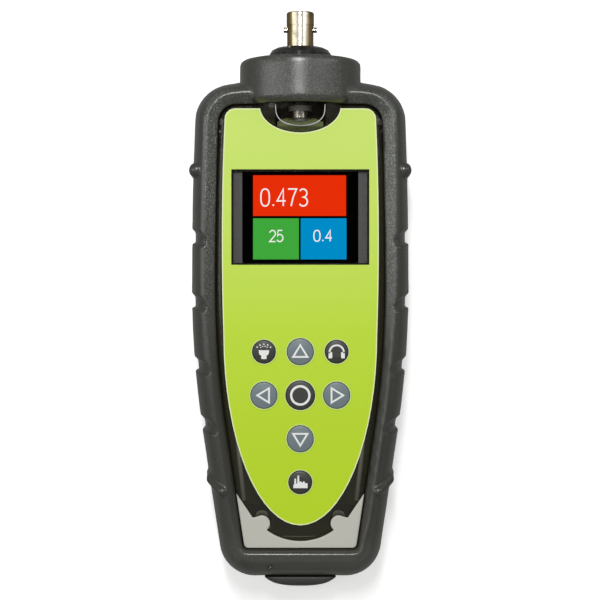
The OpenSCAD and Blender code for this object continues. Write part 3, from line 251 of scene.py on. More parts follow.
def maths(tree, operation, first, second=0.0):
    node = add(tree, "Math", operation=operation)
    for socket, source in zip(node.inputs, (first, second)):
        feed(tree, socket, source)
    return node.outputs["Value"]


def span(tree, source, low, high):
    """A value taken from one range to 0 to 1, smoothly."""
    limits = {"Value": source, "From Min": low, "From Max": high}
    return add(tree, "MapRange", interpolation_type="SMOOTHSTEP", **limits).outputs["Result"]


def axis(tree, output, letter):
    """One axis of a texture coordinate."""
    place = add(tree, "TexCoord").outputs[output]
    return add(tree, "SeparateXYZ", Vector=place).outputs[letter]


def bump(tree, shader, height, strength, distance):
    node = add(tree, "Bump", Height=height, Strength=strength, Distance=distance)
    feed(tree, shader.inputs["Normal"], node.outputs["Normal"])


def srgb(*colour):
    """A colour written as the 0 to 255 values that it shows."""
    return tuple(((c / 255 + 0.055) / 1.055) ** 2.4 if c > 10 else c / 255 / 12.92 for c in colour)


def plain(name, colour, rough, scale=900, spread=0.12, depth=0.00004, strength=0.3, specular=0.5):
    """A moulded surface: its colour and roughness vary a little, with a fine grain."""
    material, tree, shader = new_material(name)
    noise = grain(tree, scale)
    low = tuple(c * (1 - spread) for c in colour)
    high = tuple(min(1, c * (1 + spread)) for c in colour)
    fill(tree, shader, {
        "Base Color": fade(tree, noise, low, high),
        "Roughness": fade(tree, noise, rough * 0.9, min(1, rough * 1.12)),
        "Specular IOR Level": specular,
    })
    bump(tree, shader, noise, strength, depth)
    return material


def boot_material(name):
    """Moulded rubber: a fine grain that is stronger and paler on the nose and the lip's upper half, where the
    paleness on up-facing faces is a painted highlight on top of the grain.
    """
    material, tree, shader = new_material(name)
    fine = grain(tree, 2600, 1.0, 0.5)
    broad = grain(tree, 60, 3.0, 0.5)
    along = axis(tree, "Object", "Y")
    across = maths(tree, "ABSOLUTE", axis(tree, "Object", "X"))
    # Up-facing faces of the upper boot get a paler speckle: a painted highlight over the real grain
    facing = span(tree, axis(tree, "Normal", "Z"), 0.5, 0.85)
    grain_and_sheen_mask = maths(tree, "MULTIPLY", span(tree, along, *GRAIN_AND_SHEEN_ROWS), facing)
    grain_and_sheen_mask = maths(tree, "MULTIPLY", grain_and_sheen_mask, span(tree, across, *GRAIN_AND_SHEEN_EDGE))
    side = ramp(tree, fine, [(0.35, srgb(48, 48, 44)), (0.65, srgb(56, 56, 51))])
    low = ramp(tree, fine, [(0.35, srgb(62, 62, 57)), (0.65, srgb(71, 71, 66))])
    smooth = blend(tree, span(tree, along, *FOOT_ROWS), side, low)
    rough = ramp(tree, fine, [(0.4, srgb(54, 56, 52)), (0.55, srgb(70, 72, 67)), (0.7, srgb(104, 108, 100))])
    coarse = ramp(tree, grain(tree, 2300, 1.0, 0.5), [
        (0.4, srgb(54, 56, 52)), (0.54, srgb(76, 79, 73)), (0.68, srgb(128, 132, 124))])
    rough = blend(tree, span(tree, across, *LIP_BAND), rough, coarse)
    speck = blend(tree, grain_and_sheen_mask, smooth, rough)
    shade = fade(tree, broad, 0.92, 1.0)
    fill(tree, shader, {
        "Base Color": blend(tree, 1.0, speck, shade, "MULTIPLY"),
        "Roughness": fade(tree, broad, 0.26, 0.34),
        "Specular IOR Level": 0.75,
    })
    strength = maths(tree, "ADD", maths(tree, "MULTIPLY", grain_and_sheen_mask, 0.45), 0.25)
    bump(tree, shader, fine, strength, 0.00006)
    return material


def smoked_material(name, colour, rough, through, dome=0.0, gloss=0.5):
    """Glossy, smoked see-through plastic, which can let more light through in the dome."""
    material, tree, shader = new_material(name)
    noise = grain(tree, 25, 2.0)
    opaque = 1 - through
    if dome:
        near = span(tree, axis(tree, "Object", "Y"), *CLEAR_ROWS)
        middle = span(tree, maths(tree, "ABSOLUTE", axis(tree, "Object", "X")), *CLEAR_EDGE)
        extra = maths(tree, "MULTIPLY", maths(tree, "MULTIPLY", near, middle), dome - through)
        opaque = maths(tree, "SUBTRACT", opaque, extra)
    fill(tree, shader, {
        "Base Color": fade(tree, noise, tuple(c * 0.9 for c in colour), colour),
        "Roughness": fade(tree, noise, rough, rough * 1.5),
        "Alpha": opaque, "IOR": 1.5, "Specular IOR Level": gloss,
    })
    return material


def metal_material(name, colour, rough):
    material, tree, shader = new_material(name)
    noise = grain(tree, 700, 4.0, 0.6)
    fill(tree, shader, {
        "Base Color": fade(tree, noise, tuple(c * 0.86 for c in colour), colour),
        "Roughness": fade(tree, noise, rough * 0.75, rough * 1.3),
        "Metallic": 1,
    })
    bump(tree, shader, noise, 0.15, 0.00002)
    return material


def nickel_painted_reflection_material(name):
    """Worn nickel plate with painted reflection: pale where it faces the viewer and brown at its sides, as
    painted highlight and shade, and blotched by wear.
    """
    material, tree, shader = new_material(name)
    weight = add(tree, "LayerWeight", Blend=0.5)
    # The pale face and brown sides follow the view angle: painted reflection and shade
    tint = ramp(tree, weight.outputs["Facing"], [
        (0.0, srgb(244, 240, 230)), (0.12, srgb(220, 208, 178)), (0.35, srgb(158, 138, 94)),
        (0.75, srgb(100, 80, 44))])
    worn = grain(tree, 260, 4.0, 0.65, (1, 0.6, 1))
    patch = ramp(tree, worn, [(0.5, 1.0), (0.66, 0.62)])
    fill(tree, shader, {
        "Base Color": blend(tree, 1.0, tint, patch, "MULTIPLY"),
        "Roughness": fade(tree, worn, 0.12, 0.26),
        "Metallic": 1,
    })
    bump(tree, shader, worn, 0.04, 0.00002)
    return material


def label_material(name):
    """Lime film: paler at its upper end, deeper towards the foot, with a satin grain."""
    material, tree, shader = new_material(name)
    along = span(tree, axis(tree, "Object", "Y"), *LIME_ROWS)
    tint = ramp(tree, along, [
        (0.0, srgb(186, 219, 34)), (0.45, srgb(192, 224, 58)), (1.0, srgb(203, 230, 108))])
    noise = grain(tree, 2200, 2.0)
    soft = fade(tree, noise, 0.965, 1.0)
    tint = blend(tree, 1.0, tint, soft, "MULTIPLY")
    fill(tree, shader, {"Base Color": tint, "Roughness": 0.5, "Specular IOR Level": 0.25})
    bump(tree, shader, noise, 0.08, 0.00003)
    return material


def glow_material(name, colour):
    """A lit tile of the display, with the faint pattern of its pixels."""
    material, tree, shader = new_material(name)
    place = add(tree, "TexCoord").outputs["Object"]
    cells = add(tree, "TexChecker", Vector=place, Scale=9000.0).outputs["Fac"]
    fill(tree, shader, {
        "Emission Color": ramp(tree, cells, [(0.0, tuple(c * 0.97 for c in colour)), (1.0, colour)]),
        "Base Color": (*(c * 0.1 for c in colour), 1),
        "Emission Strength": 0.98, "Roughness": 0.3, "Specular IOR Level": 0.0,
    })
    return material


PRINT_LOOK = (0.5, 2500, 0.02, 0.00001, 0.1)
# Moulded surfaces: colour, roughness, grain, spread, depth, strength and gloss, as in plain
PLAIN = {
    "flap_rubber": ((54, 54, 53), 0.45, 1500, 0.08, 0.00006, 0.4),
    "dark_plastic": ((40, 40, 36), 0.5, 1300, 0.1, 0.00008, 0.4),
    "seal": ((120, 120, 116), 0.6),
    "grey_frame": ((80, 80, 79), 0.55, 1700, 0.25, 0.00014, 0.6),
    "display": ((2, 2, 2), 0.6, 400, 0.1, 0.00001, 0.05, 0.0),
    "flex_film": ((196, 140, 50), 0.35),
    "trim": ((192, 192, 182), 0.42, 2000, 0.03, 0.00002, 0.15),
    "key_grey": ((108, 122, 127), 0.42, 2500, 0.04, 0.00002, 0.15),
    "key_dark": ((48, 48, 44), 0.42, 2500, 0.05, 0.00002, 0.15),
    "switches": ((34, 34, 34), 0.5),
    "board": ((130, 150, 48), 0.35, 120, 0.15, 0.00002, 0.1),
    "chips": ((26, 26, 27), 0.45),
    "collar_black": ((36, 36, 34), 0.13, 400, 0.1, 0.00001, 0.05),
    "white_insulator": ((236, 236, 228), 0.4),
    "cell_wrap": ((44, 62, 128), 0.25),
    "print_white": ((232, 235, 232), *PRINT_LOOK),
    "print_halo": ((214, 230, 172), *PRINT_LOOK),
    "edge_pale": ((232, 242, 190), *PRINT_LOOK),
    # The shank's end is paler than its metal: a painted highlight where the nose shades it
    "shank_light": ((238, 235, 226), 0.25, 700, 0.1),
    "board_lit": ((196, 212, 96), 0.35, 300, 0.15),
    # Pale marks inside the case; on the ribs the paleness is a painted highlight
    "inner_rib": ((190, 190, 170), 0.4, 900, 0.05),
}
METALS = {"steel": ((196, 196, 194), 0.3), "gold": ((226, 180, 96), 0.2)}
GLOWS = {
    "tile_red": (240, 48, 8), "tile_green": (66, 174, 62), "tile_blue": (0, 146, 208),
    "digit_white": (250, 248, 246),
}
MATERIALS = {
    "boot_rubber": boot_material("boot_rubber"),
    "smoked_plastic": smoked_material("smoked_plastic", srgb(42, 39, 28), 0.1, 0.4, 0.9),
    "clear_pane": smoked_material("clear_pane", (0.0, 0.0, 0.0), 0.05, 0.93, 0.0, 0.15),
    "overlay": label_material("label_lime"),
    "nickel": nickel_painted_reflection_material("nickel"),
}
for name, (colour, *values) in PLAIN.items():
    MATERIALS[name] = plain(name, srgb(*colour), *values)
for name, (colour, rough) in METALS.items():
    MATERIALS[name] = metal_material(name, srgb(*colour), rough)
for name, colour in GLOWS.items():
    MATERIALS[name] = glow_material(name, srgb(*colour))

SLOTS = {part["node"]: part["material_slot"] for part in frame["record"]["subparts"]}
for node, piece in frame["nodes"].items():
    piece.data.materials.clear()
    piece.data.materials.append(MATERIALS[SLOTS[node]])


# Pieces from points in millimetres, in the same frame as the CAD source


def new_object(name, data):
    thing = bpy.data.objects.new(name, data)
    bpy.context.scene.collection.objects.link(thing)
    return thing


def make(name, points, faces, material, body, slot, smooth=True):
    """A piece with its faces turned outwards."""
    mesh = bpy.data.meshes.new(name)
    mesh.from_pydata([tuple(float(c) * MM for c in p) for p in points], [], faces)
    mesh.validate()
    edit = bmesh.new()
    edit.from_mesh(mesh)
    bmesh.ops.recalc_face_normals(edit, faces=edit.faces)
    edit.to_mesh(mesh)
    edit.free()
    if smooth:
        mesh.shade_smooth()
    piece = new_object(name, mesh)
    mesh.materials.append(MATERIALS[material])
    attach(piece, body)
    return piece


def prisms(outlines, low, high):
    """Flat pieces with a thickness: each outline is a list of loops, holes after the first."""
    points, faces = [], []
    for loops in outlines:
        flat = [p for loop in loops for p in loop]
        start, n = len(points), len(flat)
        points += [(x, y, z) for z in (high, low) for x, y in flat]
        # The loops are turned first, because tessellate_polygon fails on some level edges
        turned = [[Vector((0.8 * x - 0.6 * y, 0.6 * x + 0.8 * y, 0)) for x, y in loop] for loop in loops]
        for a, b, c in tessellate_polygon(turned):
            (ax, ay), (bx, by), (cx, cy) = flat[a], flat[b], flat[c]
            turns_left = (bx - ax) * (cy - ay) > (by - ay) * (cx - ax)
            up = (a, b, c) if turns_left else (a, c, b)
            faces.append(tuple(start + i for i in up))
            faces.append(tuple(start + n + i for i in reversed(up)))
        base = start
        for loop in loops:
            m = len(loop)
            for i in range(m):
                j = (i + 1) % m
                faces.append((base + i, base + n + i, base + n + j, base + j))
            base += m
    return points, faces


def joined(parts):
    """Several forms, each as points and faces, as one."""
    points, faces = [], []
    for more_points, more_faces in parts:
        start = len(points)
        points += list(more_points)
        faces += [tuple(start + i for i in face) for face in more_faces]
    return points, faces


def ribbon(path, width, closed=False):
    """The outline of a flat stroke of even width along a path, with mitred corners."""
    points = [Vector(p) for p in path]
    n = len(points)
    left, right = [], []
    for i, p in enumerate(points):
        before = points[(i - 1) % n] if closed or i > 0 else None
        after = points[(i + 1) % n] if closed or i < n - 1 else None
        first = (p - before).normalized() if before is not None else None
        second = (after - p).normalized() if after is not None else None
        first, second = first or second, second or first
        side = Vector((-first.y, first.x)) + Vector((-second.y, second.x))
        side = side.normalized() / max(0.4, math.sqrt((1 + first.dot(second)) / 2))
        left.append(tuple(p + side * width / 2))
        right.append(tuple(p - side * width / 2))
    return [left, right[::-1]] if closed else [left + right[::-1]]


def full_turn(steps):
    return [2 * math.pi * i / steps for i in range(steps)]


def around(x, y, rx, ry, turns):
    """Points on an ellipse at some turns in radians."""
    return [(x + rx * math.cos(a), y + ry * math.sin(a)) for a in turns]


def circle(x, y, r, steps=24, start=0.0, end=360.0):
    count = steps if abs(end - start) >= 360 else steps + 1
    return around(x, y, r, r, [math.radians(start + (end - start) * i / steps) for i in range(count)])


def moved(loops, x, y, scale=1.0, turn=0.0):
    c, s = math.cos(math.radians(turn)), math.sin(math.radians(turn))

    def place(px, py):
        return x + scale * (px * c - py * s), y + scale * (px * s + py * c)

    return [[place(px, py) for px, py in loop] for loop in loops]


def tube(path, r, section=10):
    """A round bar along a path of points in millimetres, with closed ends."""
    path = [Vector(p) for p in path]
    points, faces = [], []
    for i, p in enumerate(path):
        d = (path[min(i + 1, len(path) - 1)] - path[max(i - 1, 0)]).normalized()
        u = d.cross(Vector((0, 0, 1))).normalized()
        v = u.cross(d)
        for a in full_turn(section):
            points.append(tuple(p + u * r * math.cos(a) + v * r * math.sin(a)))
    for i in range(len(path) - 1):
        for j in range(section):
            k = (j + 1) % section
            faces.append((i * section + j, i * section + k, (i + 1) * section + k, (i + 1) * section + j))
    faces.append(tuple(range(section)))
    faces.append(tuple(range((len(path) - 1) * section, len(path) * section))[::-1])
    return points, faces


def turned_form(profile, steps=48):
    """A form turned round the jack's axis from pairs of radius and place along it."""
    points, faces = [], []
    for a in full_turn(steps):
        points += [(r * math.cos(a), y, AXIS_Z + r * math.sin(a)) for r, y in profile]
    n = len(profile)
    for i in range(steps):
        for j in range(n - 1):
            k = (i + 1) % steps
            faces.append((i * n + j, i * n + j + 1, k * n + j + 1, k * n + j))
    return points, faces


# Distance fields: arrays of the distance outside a form, in millimetres


def corner_distance(a, b, c, r):
    """Outside two planes that meet in a corner of radius r. c is their normals' product."""
    a, b = a + r, b + r
    inside = (a - c * b > 0) & (b - c * a > 0)
    square = above(a * a + b * b - 2 * c * a * b) / (1 - c * c)
    return np.where(inside, np.sqrt(square), np.maximum(a, b)) - r


def plan_distance(x, y, inset, top, fall, top_r, foot, low_r):
    """Outside an outline that lies inside the boot's side by an inset."""
    slope = np.clip((WIDEST_Y - y) / TAPER_L, 0, 1) * TAPER
    side = x - side_x(y) + inset
    upper = (y - top) * math.cos(fall) + x * math.sin(fall)
    first = corner_distance(side, upper, math.sin(fall), top_r)
    second = corner_distance(side * np.cos(slope), foot - y, math.sin(TAPER), low_r)
    return np.maximum(first, second)


def polygon_distance(x, y, loop):
    """Outside a polygon in plan."""
    loop = np.array(loop, float)
    near = np.full(np.broadcast(x, y).shape, 1e9)
    inside = np.zeros(near.shape, bool)
    for (ax, ay), (bx, by) in zip(loop, np.roll(loop, -1, axis=0)):
        ex, ey = bx - ax, by - ay
        t = np.clip(((x - ax) * ex + (y - ay) * ey) / (ex * ex + ey * ey + TINIEST), 0, 1)
        near = np.minimum(near, (x - ax - t * ex) ** 2 + (y - ay - t * ey) ** 2)
        crosses = ((ay > y) != (by > y)) & (x < ex * (y - ay) / (ey if ey else TINIEST) + ax)
        inside ^= crosses
    return np.where(inside, -1, 1) * np.sqrt(near)


def smooth_step(value, low, high):
    t = np.clip((value - low) / (high - low), 0, 1)
    return t * t * (3 - 2 * t)


def union(a, b, r):
    h = np.clip(0.5 + 0.5 * (b - a) / r, 0, 1)
    return b + (a - b) * h - r * h * (1 - h)


def meet(a, b, r):
    """Where both forms are, with the edge between them eased."""
    return -union(-a, -b, r)


def cut(a, b, r):
    """One form without another, with the edge between them eased."""
    return meet(a, -b, r)


def rod(x, y, z, start, end, r):
    """A round bar with round ends."""
    axes = list(zip((x, y, z), start, end))
    whole = sum((b - a) ** 2 for p, a, b in axes)
    t = np.clip(sum((p - a) * (b - a) for p, a, b in axes) / whole, 0, 1)
    return length(*(p - (a + t * (b - a)) for p, a, b in axes)) - r


def dome_form(x, y, z, r, tip):
    """A tube along the meter whose lower end is half an ellipsoid."""
    radial = axis_distance(x, z)
    back = above(DOME_Y - y)
    reach = length(radial / r, back / tip) + TINY
    steep = length(radial / r ** 2, back / tip ** 2) / reach + TINY
    return (reach - 1) / steep


def skin(name, form, box, pitch, body, slot, sharp):
    """A piece from a form's distances, which are worked out on the right and mirrored."""
    x1, y1, z1 = (np.arange(a, b + pitch / 2, pitch) for a, b in zip(*box))
    half = form(*np.meshgrid(x1, y1, z1, indexing="ij", sparse=True))
    field = np.concatenate([half[:0:-1], half], axis=0)
    grid = openvdb.FloatGrid()
    grid.copyFromArray(np.ascontiguousarray(field, dtype=np.float32))
    points, triangles, quads = grid.convertToPolygons(isovalue=0.0, adaptivity=0.02)
    points = points * pitch + np.array((-x1[-1], y1[0], z1[0]))
    faces = [tuple(map(int, f)) for f in triangles] + [tuple(map(int, f)) for f in quads]
    piece = make(name, points, faces, slot, body, slot)
    piece.data.set_sharp_from_angle(angle=math.radians(sharp))
    return piece


def overlap(*forms):
    """Where all the forms are, with plain edges."""
    return reduce(np.maximum, forms)


def without(body, *forms):
    """A body less the place where all the forms are, with plain edges."""
    return np.maximum(body, -overlap(*forms))


def axis_distance(x, z):
    """Distance from the axis of the jack and the nose."""
    return length(x, z - AXIS_Z)


def boot_roll(py, z, inset, wide):
    """The boot's side, its roll up to the crest as a quarter ellipse, and the bevel to the opening."""
    bevel = BEVEL_W
    for gain, low, high in BEVEL_GAINS:
        bevel = bevel + gain * smooth_step(py, low, high)
    bevel = np.minimum(bevel[:, :, None], wide * BEVEL_SHARE)
    crest = wide - bevel
    across = above((crest - inset) / crest)
    up = above((z - SIDE_Z) / ROLL_H)
    reach = length(across, up) + TINY
    steep = length(across / crest, up / ROLL_H) / reach + TINY
    rolled = (z > SIDE_Z) & (inset < crest)
    body = np.where(rolled, (reach - 1) / steep, np.maximum(-inset, z - CREST_Z))
    drop = BEVEL_H / (wide - crest)
    body = meet(body, (z - CREST_Z + (inset - crest) * drop) / length(1, drop), EDGE_EASE)
    # The rounded edge of the back
    edge = length(above(BACK_R - inset), above(BACK_R - z)) - BACK_R
    return np.maximum(body, np.where((inset < BACK_R) & (z < BACK_R), edge, -z))


def press_grooves(body, y, z, inset):
    """Finger grooves, flat in the middle, which lean towards the foot by their front end."""
    for centre in GRIPS[1:5]:
        near = np.abs(y.ravel() - centre) < GROOVE_SPAN
        part, deep = body[:, near], inset[:, near]
        low = above(MARK_LOW_Z - z) * 2
        reach = length(above(deep), low)
        lean = GROOVE_LEAN * np.clip(deep, 0, GROOVE_LEAN_W)
        off = length(y[:, near] - centre + lean, above(reach - GROOVE_REACH))
        depth = GROOVE_DEPTH * np.clip(1 - (off / GROOVE_HALF_L) ** GROOVE_POWER, GROOVE_LEAST, 1)
        body[:, near] = np.where(deep < GROOVE_SPAN, meet(part, part + depth, GROOVE_EASE), part)


def nose_form(y, radial):
    """The round nose, with a bevel at its lower end."""
    nose = overlap(corner_distance(radial - NOSE_R, y - NOSE_Y, 0, NOSE_EDGE_R), OPEN_TOP - y)
    along = OPEN_TOP + NOSE_BEVEL_L - y
    return meet(nose, (radial - NOSE_R) * BEVEL_ACROSS_SHARE + along * BEVEL_ALONG_SHARE, EDGE_EASE)


def add_marks(body, x, y, z):
    """The boot with the bead below the nose and the bent rib near the foot."""
    bead_x = float(side_x(GRIPS[0])) + BEAD_OUT - BEAD_R
    foot, top = (bead_x, GRIPS[0], MARK_LOW_Z), (bead_x - BEAD_LEAN, GRIPS[0], BEAD_TOP_Z)
    body = union(body, rod(x, y, z, foot, top, BEAD_R), BEAD_EASE)
    rib_x = float(side_x(GRIPS[5])) + RIB_OUT - RIB_R
    bends = [(rib_x - inward, GRIPS[5] + along, high) for inward, along, high in RIB_BENDS]
    for start, end in zip(bends, bends[1:]):
        body = union(body, rod(x, y, z, start, end, RIB_R), RIB_EASE)
    return body


def hinge_distance(y, z):
    """Distance from the flap's hinge line."""
    return length(y - HINGE_Y, z - FLAP_Z + HINGE_DROP)


def hollow_boot(body, x, y, z, case, opening):
    """The boot without the case's space, its openings, the nose's bore and the recess at the foot."""
    body = without(body, case, SPACE_LOW_Z - z, z - SPACE_TOP_Z)
    body = cut(body, np.maximum(opening, OPEN_LOW_Z - z), OPENING_EASE)
    radial = axis_distance(x, z)
    bore = np.where(y < NOSE_Y - NOSE_WALL, radial - BORE_R, radial - COLLAR_HOLE_R)
    body = without(body, bore, OPEN_TOP - DOME_L - y)
    along = np.abs(y - WINDOW_Y) - WINDOW_HALF_L
    window = corner_distance(x - WINDOW_X, along, 0, WINDOW_R)
    body = cut(body, np.maximum(window, z - WINDOW_TOP_Z), OPENING_EASE)
    high = np.abs(z - FLAP_Z) - RECESS_HALF_H
    body = without(body, x - RECESS_X, high, FOOT_Y - OVERRUN - y, y - FOOT_Y - RECESS_L)
    return without(body, hinge_distance(y, z) - HINGE_R - HINGE_GAP, x - HINGE_X - HINGE_GAP)


def boot_form(x, y, z):
    px, py = x[:, :, 0], y[:, :, 0]
    outer = plan_distance(px, py, 0, SHOULDER_Y, SHOULDER_FALL, SHOULDER_R, FOOT_Y, FOOT_R)
    opening = plan_distance(px, py, LIP_W, OPEN_TOP, 0, OPEN_TOP_R, OPEN_FOOT, OPEN_FOOT_R)
    case = plan_distance(
        px, py, SPACE_IN, SHOULDER_Y - SPACE_IN, SHOULDER_FALL, SPACE_R, SPACE_FOOT_Y, SPACE_R)
    inset = (-outer)[:, :, None]
    wide = np.clip(opening - outer, LEAST_LIP_W, None)[:, :, None]
    body = boot_roll(py, z, inset, wide)
    press_grooves(body, y, z, inset)
    body = np.maximum(union(body, nose_form(y, axis_distance(x, z)), NOSE_EASE), -z)
    body = add_marks(body, x, y, z)
    return hollow_boot(body, x, y, z, case[:, :, None], opening[:, :, None])


def trim_side(y):
    """Half the trim's width at a place along it."""
    return float(side_x(y)) - LIP_W - TRIM_GAP


def trim_loop(grow):
    """Outline of the lower trim, as in the CAD source, moved outwards."""
    foot = OPEN_FOOT + TRIM_GAP
    low_x = trim_side(foot + TRIM_CORNER_R) - TRIM_CORNER_R
    tip_y = OPEN_FOOT + TRIM_TIP_L
    rise = TRIM_ARC_L - TRIM_MIDDLE_L - TRIM_GAP
    arc_r = (TRIM_ARC_X ** 2 + rise ** 2) / (2 * rise)
    arc_y, arc_a = foot + TRIM_MIDDLE_L + arc_r, math.asin(TRIM_ARC_X / arc_r)
    half = [(0, foot - grow)]
    for i in range(5):
        a = -math.pi / 2 + (math.pi / 2 - TAPER) * i / 4
        corner_r = TRIM_CORNER_R + grow
        half.append((low_x + corner_r * math.cos(a), foot + TRIM_CORNER_R + corner_r * math.sin(a)))
    join_y = LOW_SCREW[1] + (LOBE_R + grow) * math.sin(LOBE_JOIN_TURN)
    half += [
        (trim_side(tip_y) + grow, tip_y + 3 * grow),
        (TRIM_NECK_X - grow / 2, OPEN_FOOT + TRIM_NECK_L + grow),
        (LOW_SCREW[0] + LOBE_JOIN_X, join_y),
        LOW_SCREW,
    ]
    for i in range(9):
        a = arc_a * (1 - i / 8)
        half.append(((arc_r - grow) * math.sin(a), arc_y - (arc_r - grow) * math.cos(a)))
    return half + [(-px, py) for px, py in half[-2:0:-1]]


def trim_plan(px, py, grow):
    lobes = length(np.abs(px) - LOW_SCREW[0], py - LOW_SCREW[1]) - LOBE_R - grow
    return np.minimum(polygon_distance(px, py, trim_loop(grow)), lobes)


def case_skirt(px, py, inset):
    """Outside the case's outline, moved inwards by an inset."""
    corner_r, foot = CASE_CORNER_R - inset, CASE_FOOT_Y + inset
    top = SHOULDER_Y - CASE_IN - inset
    plan = plan_distance(px, py, CASE_IN + inset, top, SHOULDER_FALL, corner_r, foot, corner_r)
    return plan[:, :, None]


def case_island(px, py, inset):
    """Outside the raised face's outline, moved inwards by an inset."""
    top, foot = OPEN_TOP - FACE_GAP - inset, OPEN_FOOT + FACE_GAP + inset
    plan = plan_distance(px, py, LIP_W + FACE_GAP + inset, top, 0, OPEN_TOP_R, foot, OPEN_FOOT_R)
    return plan[:, :, None]


def case_face(px, py, z):
    """The raised face, with its rolled edge."""
    face = case_island(px, py, 0)
    across = np.clip(1 + face / FACE_ROLL_W, 0, ROLL_END)
    top = z - FRONT_Z + FACE_ROLL_H * (1 - np.sqrt(np.clip(1 - across ** 2, ROLL_LEAST, 1)))
    slope = FACE_ROLL_H / FACE_ROLL_W * across / np.sqrt(np.clip(1 - across ** 2, ROLL_LEAST_SLOPE, 1))
    return overlap(face, top / length(1, slope), CLASP_Z - FACE_ROOT - z)


def add_columns(solid, x, y, z):
    """The case with its screw columns and their bores."""
    for (cx, cy), high in ((LOW_SCREW, LOW_COLUMN_Z), (HIGH_SCREW, HIGH_COLUMN_Z)):
        column = length(x - cx, y - cy)
        solid = union(solid, overlap(column - COLUMN_R, CASE_LOW - z, z - high), COLUMN_EASE)
        solid = without(solid, column - COLUMN_BORE_R, z - COLUMN_BORE_Z)
    return solid


def pane_hole(x, y, grow):
    """Outside the display's pane in plan, moved outwards."""
    return np.maximum(x - PANE_W / 2 - grow, np.abs(y - PANE_Y) - PANE_L / 2 - grow)


def case_form(x, y, z):
    px, py = x[:, :, 0], y[:, :, 0]
    radial = axis_distance(x, z)
    solid = overlap(case_skirt(px, py, 0), CASE_LOW - z, z - CLASP_Z)
    solid = np.minimum(solid, case_face(px, py, z))
    dome = np.maximum(dome_form(x, y, z, CASE_R, DOME_L), y - NOSE_END_Y)
    dome = np.where(y < DOME_Y, np.maximum(dome, CASE_LOW - z), dome)
    solid = union(solid, dome, DOME_EASE)
    # The inside
    solid = without(solid, case_skirt(px, py, CASE_WALL), z - CLASP_Z + CASE_WALL)
    solid = without(solid, case_island(px, py, CASE_WALL), z - FRONT_Z + CASE_WALL, FACE_HOLLOW_Z - z)
    inner = dome_form(x, y, z, CASE_R - CASE_WALL, DOME_L - CASE_WALL)
    solid = without(solid, inner, y - NOSE_END_Y + NOSE_END_WALL)
    solid = add_columns(solid, x, y, z)
    # The window and its ledge, the key holes and the trim's pocket
    solid = without(solid, pane_hole(x, y, PANE_GAP), PANE_LOW_Z - z)
    solid = without(solid, pane_hole(x, y, -LEDGE_W), HOLES_LOW_Z - z)
    for name in KEYS:
        kx, ky, r = key_place(name)
        if kx >= 0:
            solid = without(solid, length(x - kx, y - ky) - r - KEY_GAP, HOLES_LOW_Z - z)
    low = y.ravel() < OPEN_FOOT + TRIM_POCKET_L
    plan = trim_plan(px, py[:, low], TRIM_FIT)[:, :, None]
    solid[:, low] = without(solid[:, low], plan, TRIM_LOW_Z - z)
    # The jack's hole and the sockets
    solid = without(solid, radial - JACK_HOLE_R, NOSE_END_Y - NOSE_END_CUT - y)
    high = np.abs(z - SOCKETS_Z) - SOCKETS_HALF_H
    return without(solid, x - SOCKETS_X, high, y - CASE_FOOT_Y - SOCKETS_L)


def flap_form(x, y, z):
    big_r = ((FLAP_W / 2) ** 2 + FLAP_OUT ** 2) / (2 * FLAP_OUT)
    fall_r = ((FLAP_T / 2) ** 2 + FLAP_FALL ** 2) / (2 * FLAP_FALL)
    top_y = FOOT_Y - FLAP_OUT
    drum = length(x, y - top_y - big_r) - big_r
    fall = length(z - FLAP_Z, y - top_y - fall_r) - fall_r
    high = np.abs(z - FLAP_Z)
    ends = np.maximum(high - FLAP_T / 2, x - FLAP_W / 2)
    bulge = np.maximum(meet(meet(drum, fall, FLAP_FRONT_EASE), ends, FLAP_END_EASE), y - HINGE_Y)
    plug = overlap(x - PLUG_X, high - PLUG_HALF_H, HINGE_Y - PLUG_SINK - y, y - HINGE_Y - PLUG_L)
    plug = without(plug, x - PLUG_X + PLUG_WALL, high - PLUG_HALF_H + PLUG_WALL, HINGE_Y - y)
    bead = np.maximum(hinge_distance(y, z) - HINGE_R, x - HINGE_X)
    return np.minimum(np.minimum(bulge, plug), bead)


def trim_form(x, y, z):
    plan = trim_plan(x[:, :, 0], y[:, :, 0], -TRIM_SHRINK)[:, :, None]
    return np.maximum(meet(plan, z - TRIM_TOP_Z, TRIM_EASE), TRIM_LOW_Z - z)


# The skins that stand in for the boot, the case, the flap and the trim

COARSE = 1.0
WIDE_PITCH, FLAP_PITCH, TRIM_PITCH = 0.4 * COARSE, 0.25 * COARSE, 0.2 * COARSE

boot_skin = skin("boot_skin", boot_form, BOOT_BOX, WIDE_PITCH, "meter", "boot_rubber", 55)
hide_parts("boot")

case_skin = skin("case_skin", case_form, CASE_BOX, WIDE_PITCH, "meter", "smoked_plastic", 45)
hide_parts("front_case")

flap_skin = skin("flap_skin", flap_form, FLAP_BOX, FLAP_PITCH, "flap", "flap_rubber", 50)
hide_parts("port_flap")

trim_skin = skin("trim_skin", trim_form, TRIM_BOX, TRIM_PITCH, "meter", "trim", 50)
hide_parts("lower_trim")


# The display's tiles and numbers


def flat_piece(name, outlines, level, depth, rise, material, slot, body="meter"):
    """A piece that reaches some way below and above a level."""
    points, faces = prisms(outlines, level - depth, level + rise)
    return make(name, points, faces, material, body, slot, smooth=False)


def bar_piece(name, paths, r, section, material, slot):
    points, faces = joined([tube(path, r, section) for path in paths])
    return make(name, points, faces, material, "meter", slot)


def screen_point(px, py):
    """A place on the display from its pixel in the view."""
    return (px - MIDDLE_PIXEL[0]) / SCREEN_SCALE, (MIDDLE_PIXEL[1] - py) / SCREEN_SCALE


def rectangle(a, b):
    (ax, ay), (bx, by) = a, b
    return [(ax, by), (bx, by), (bx, ay), (ax, ay)]


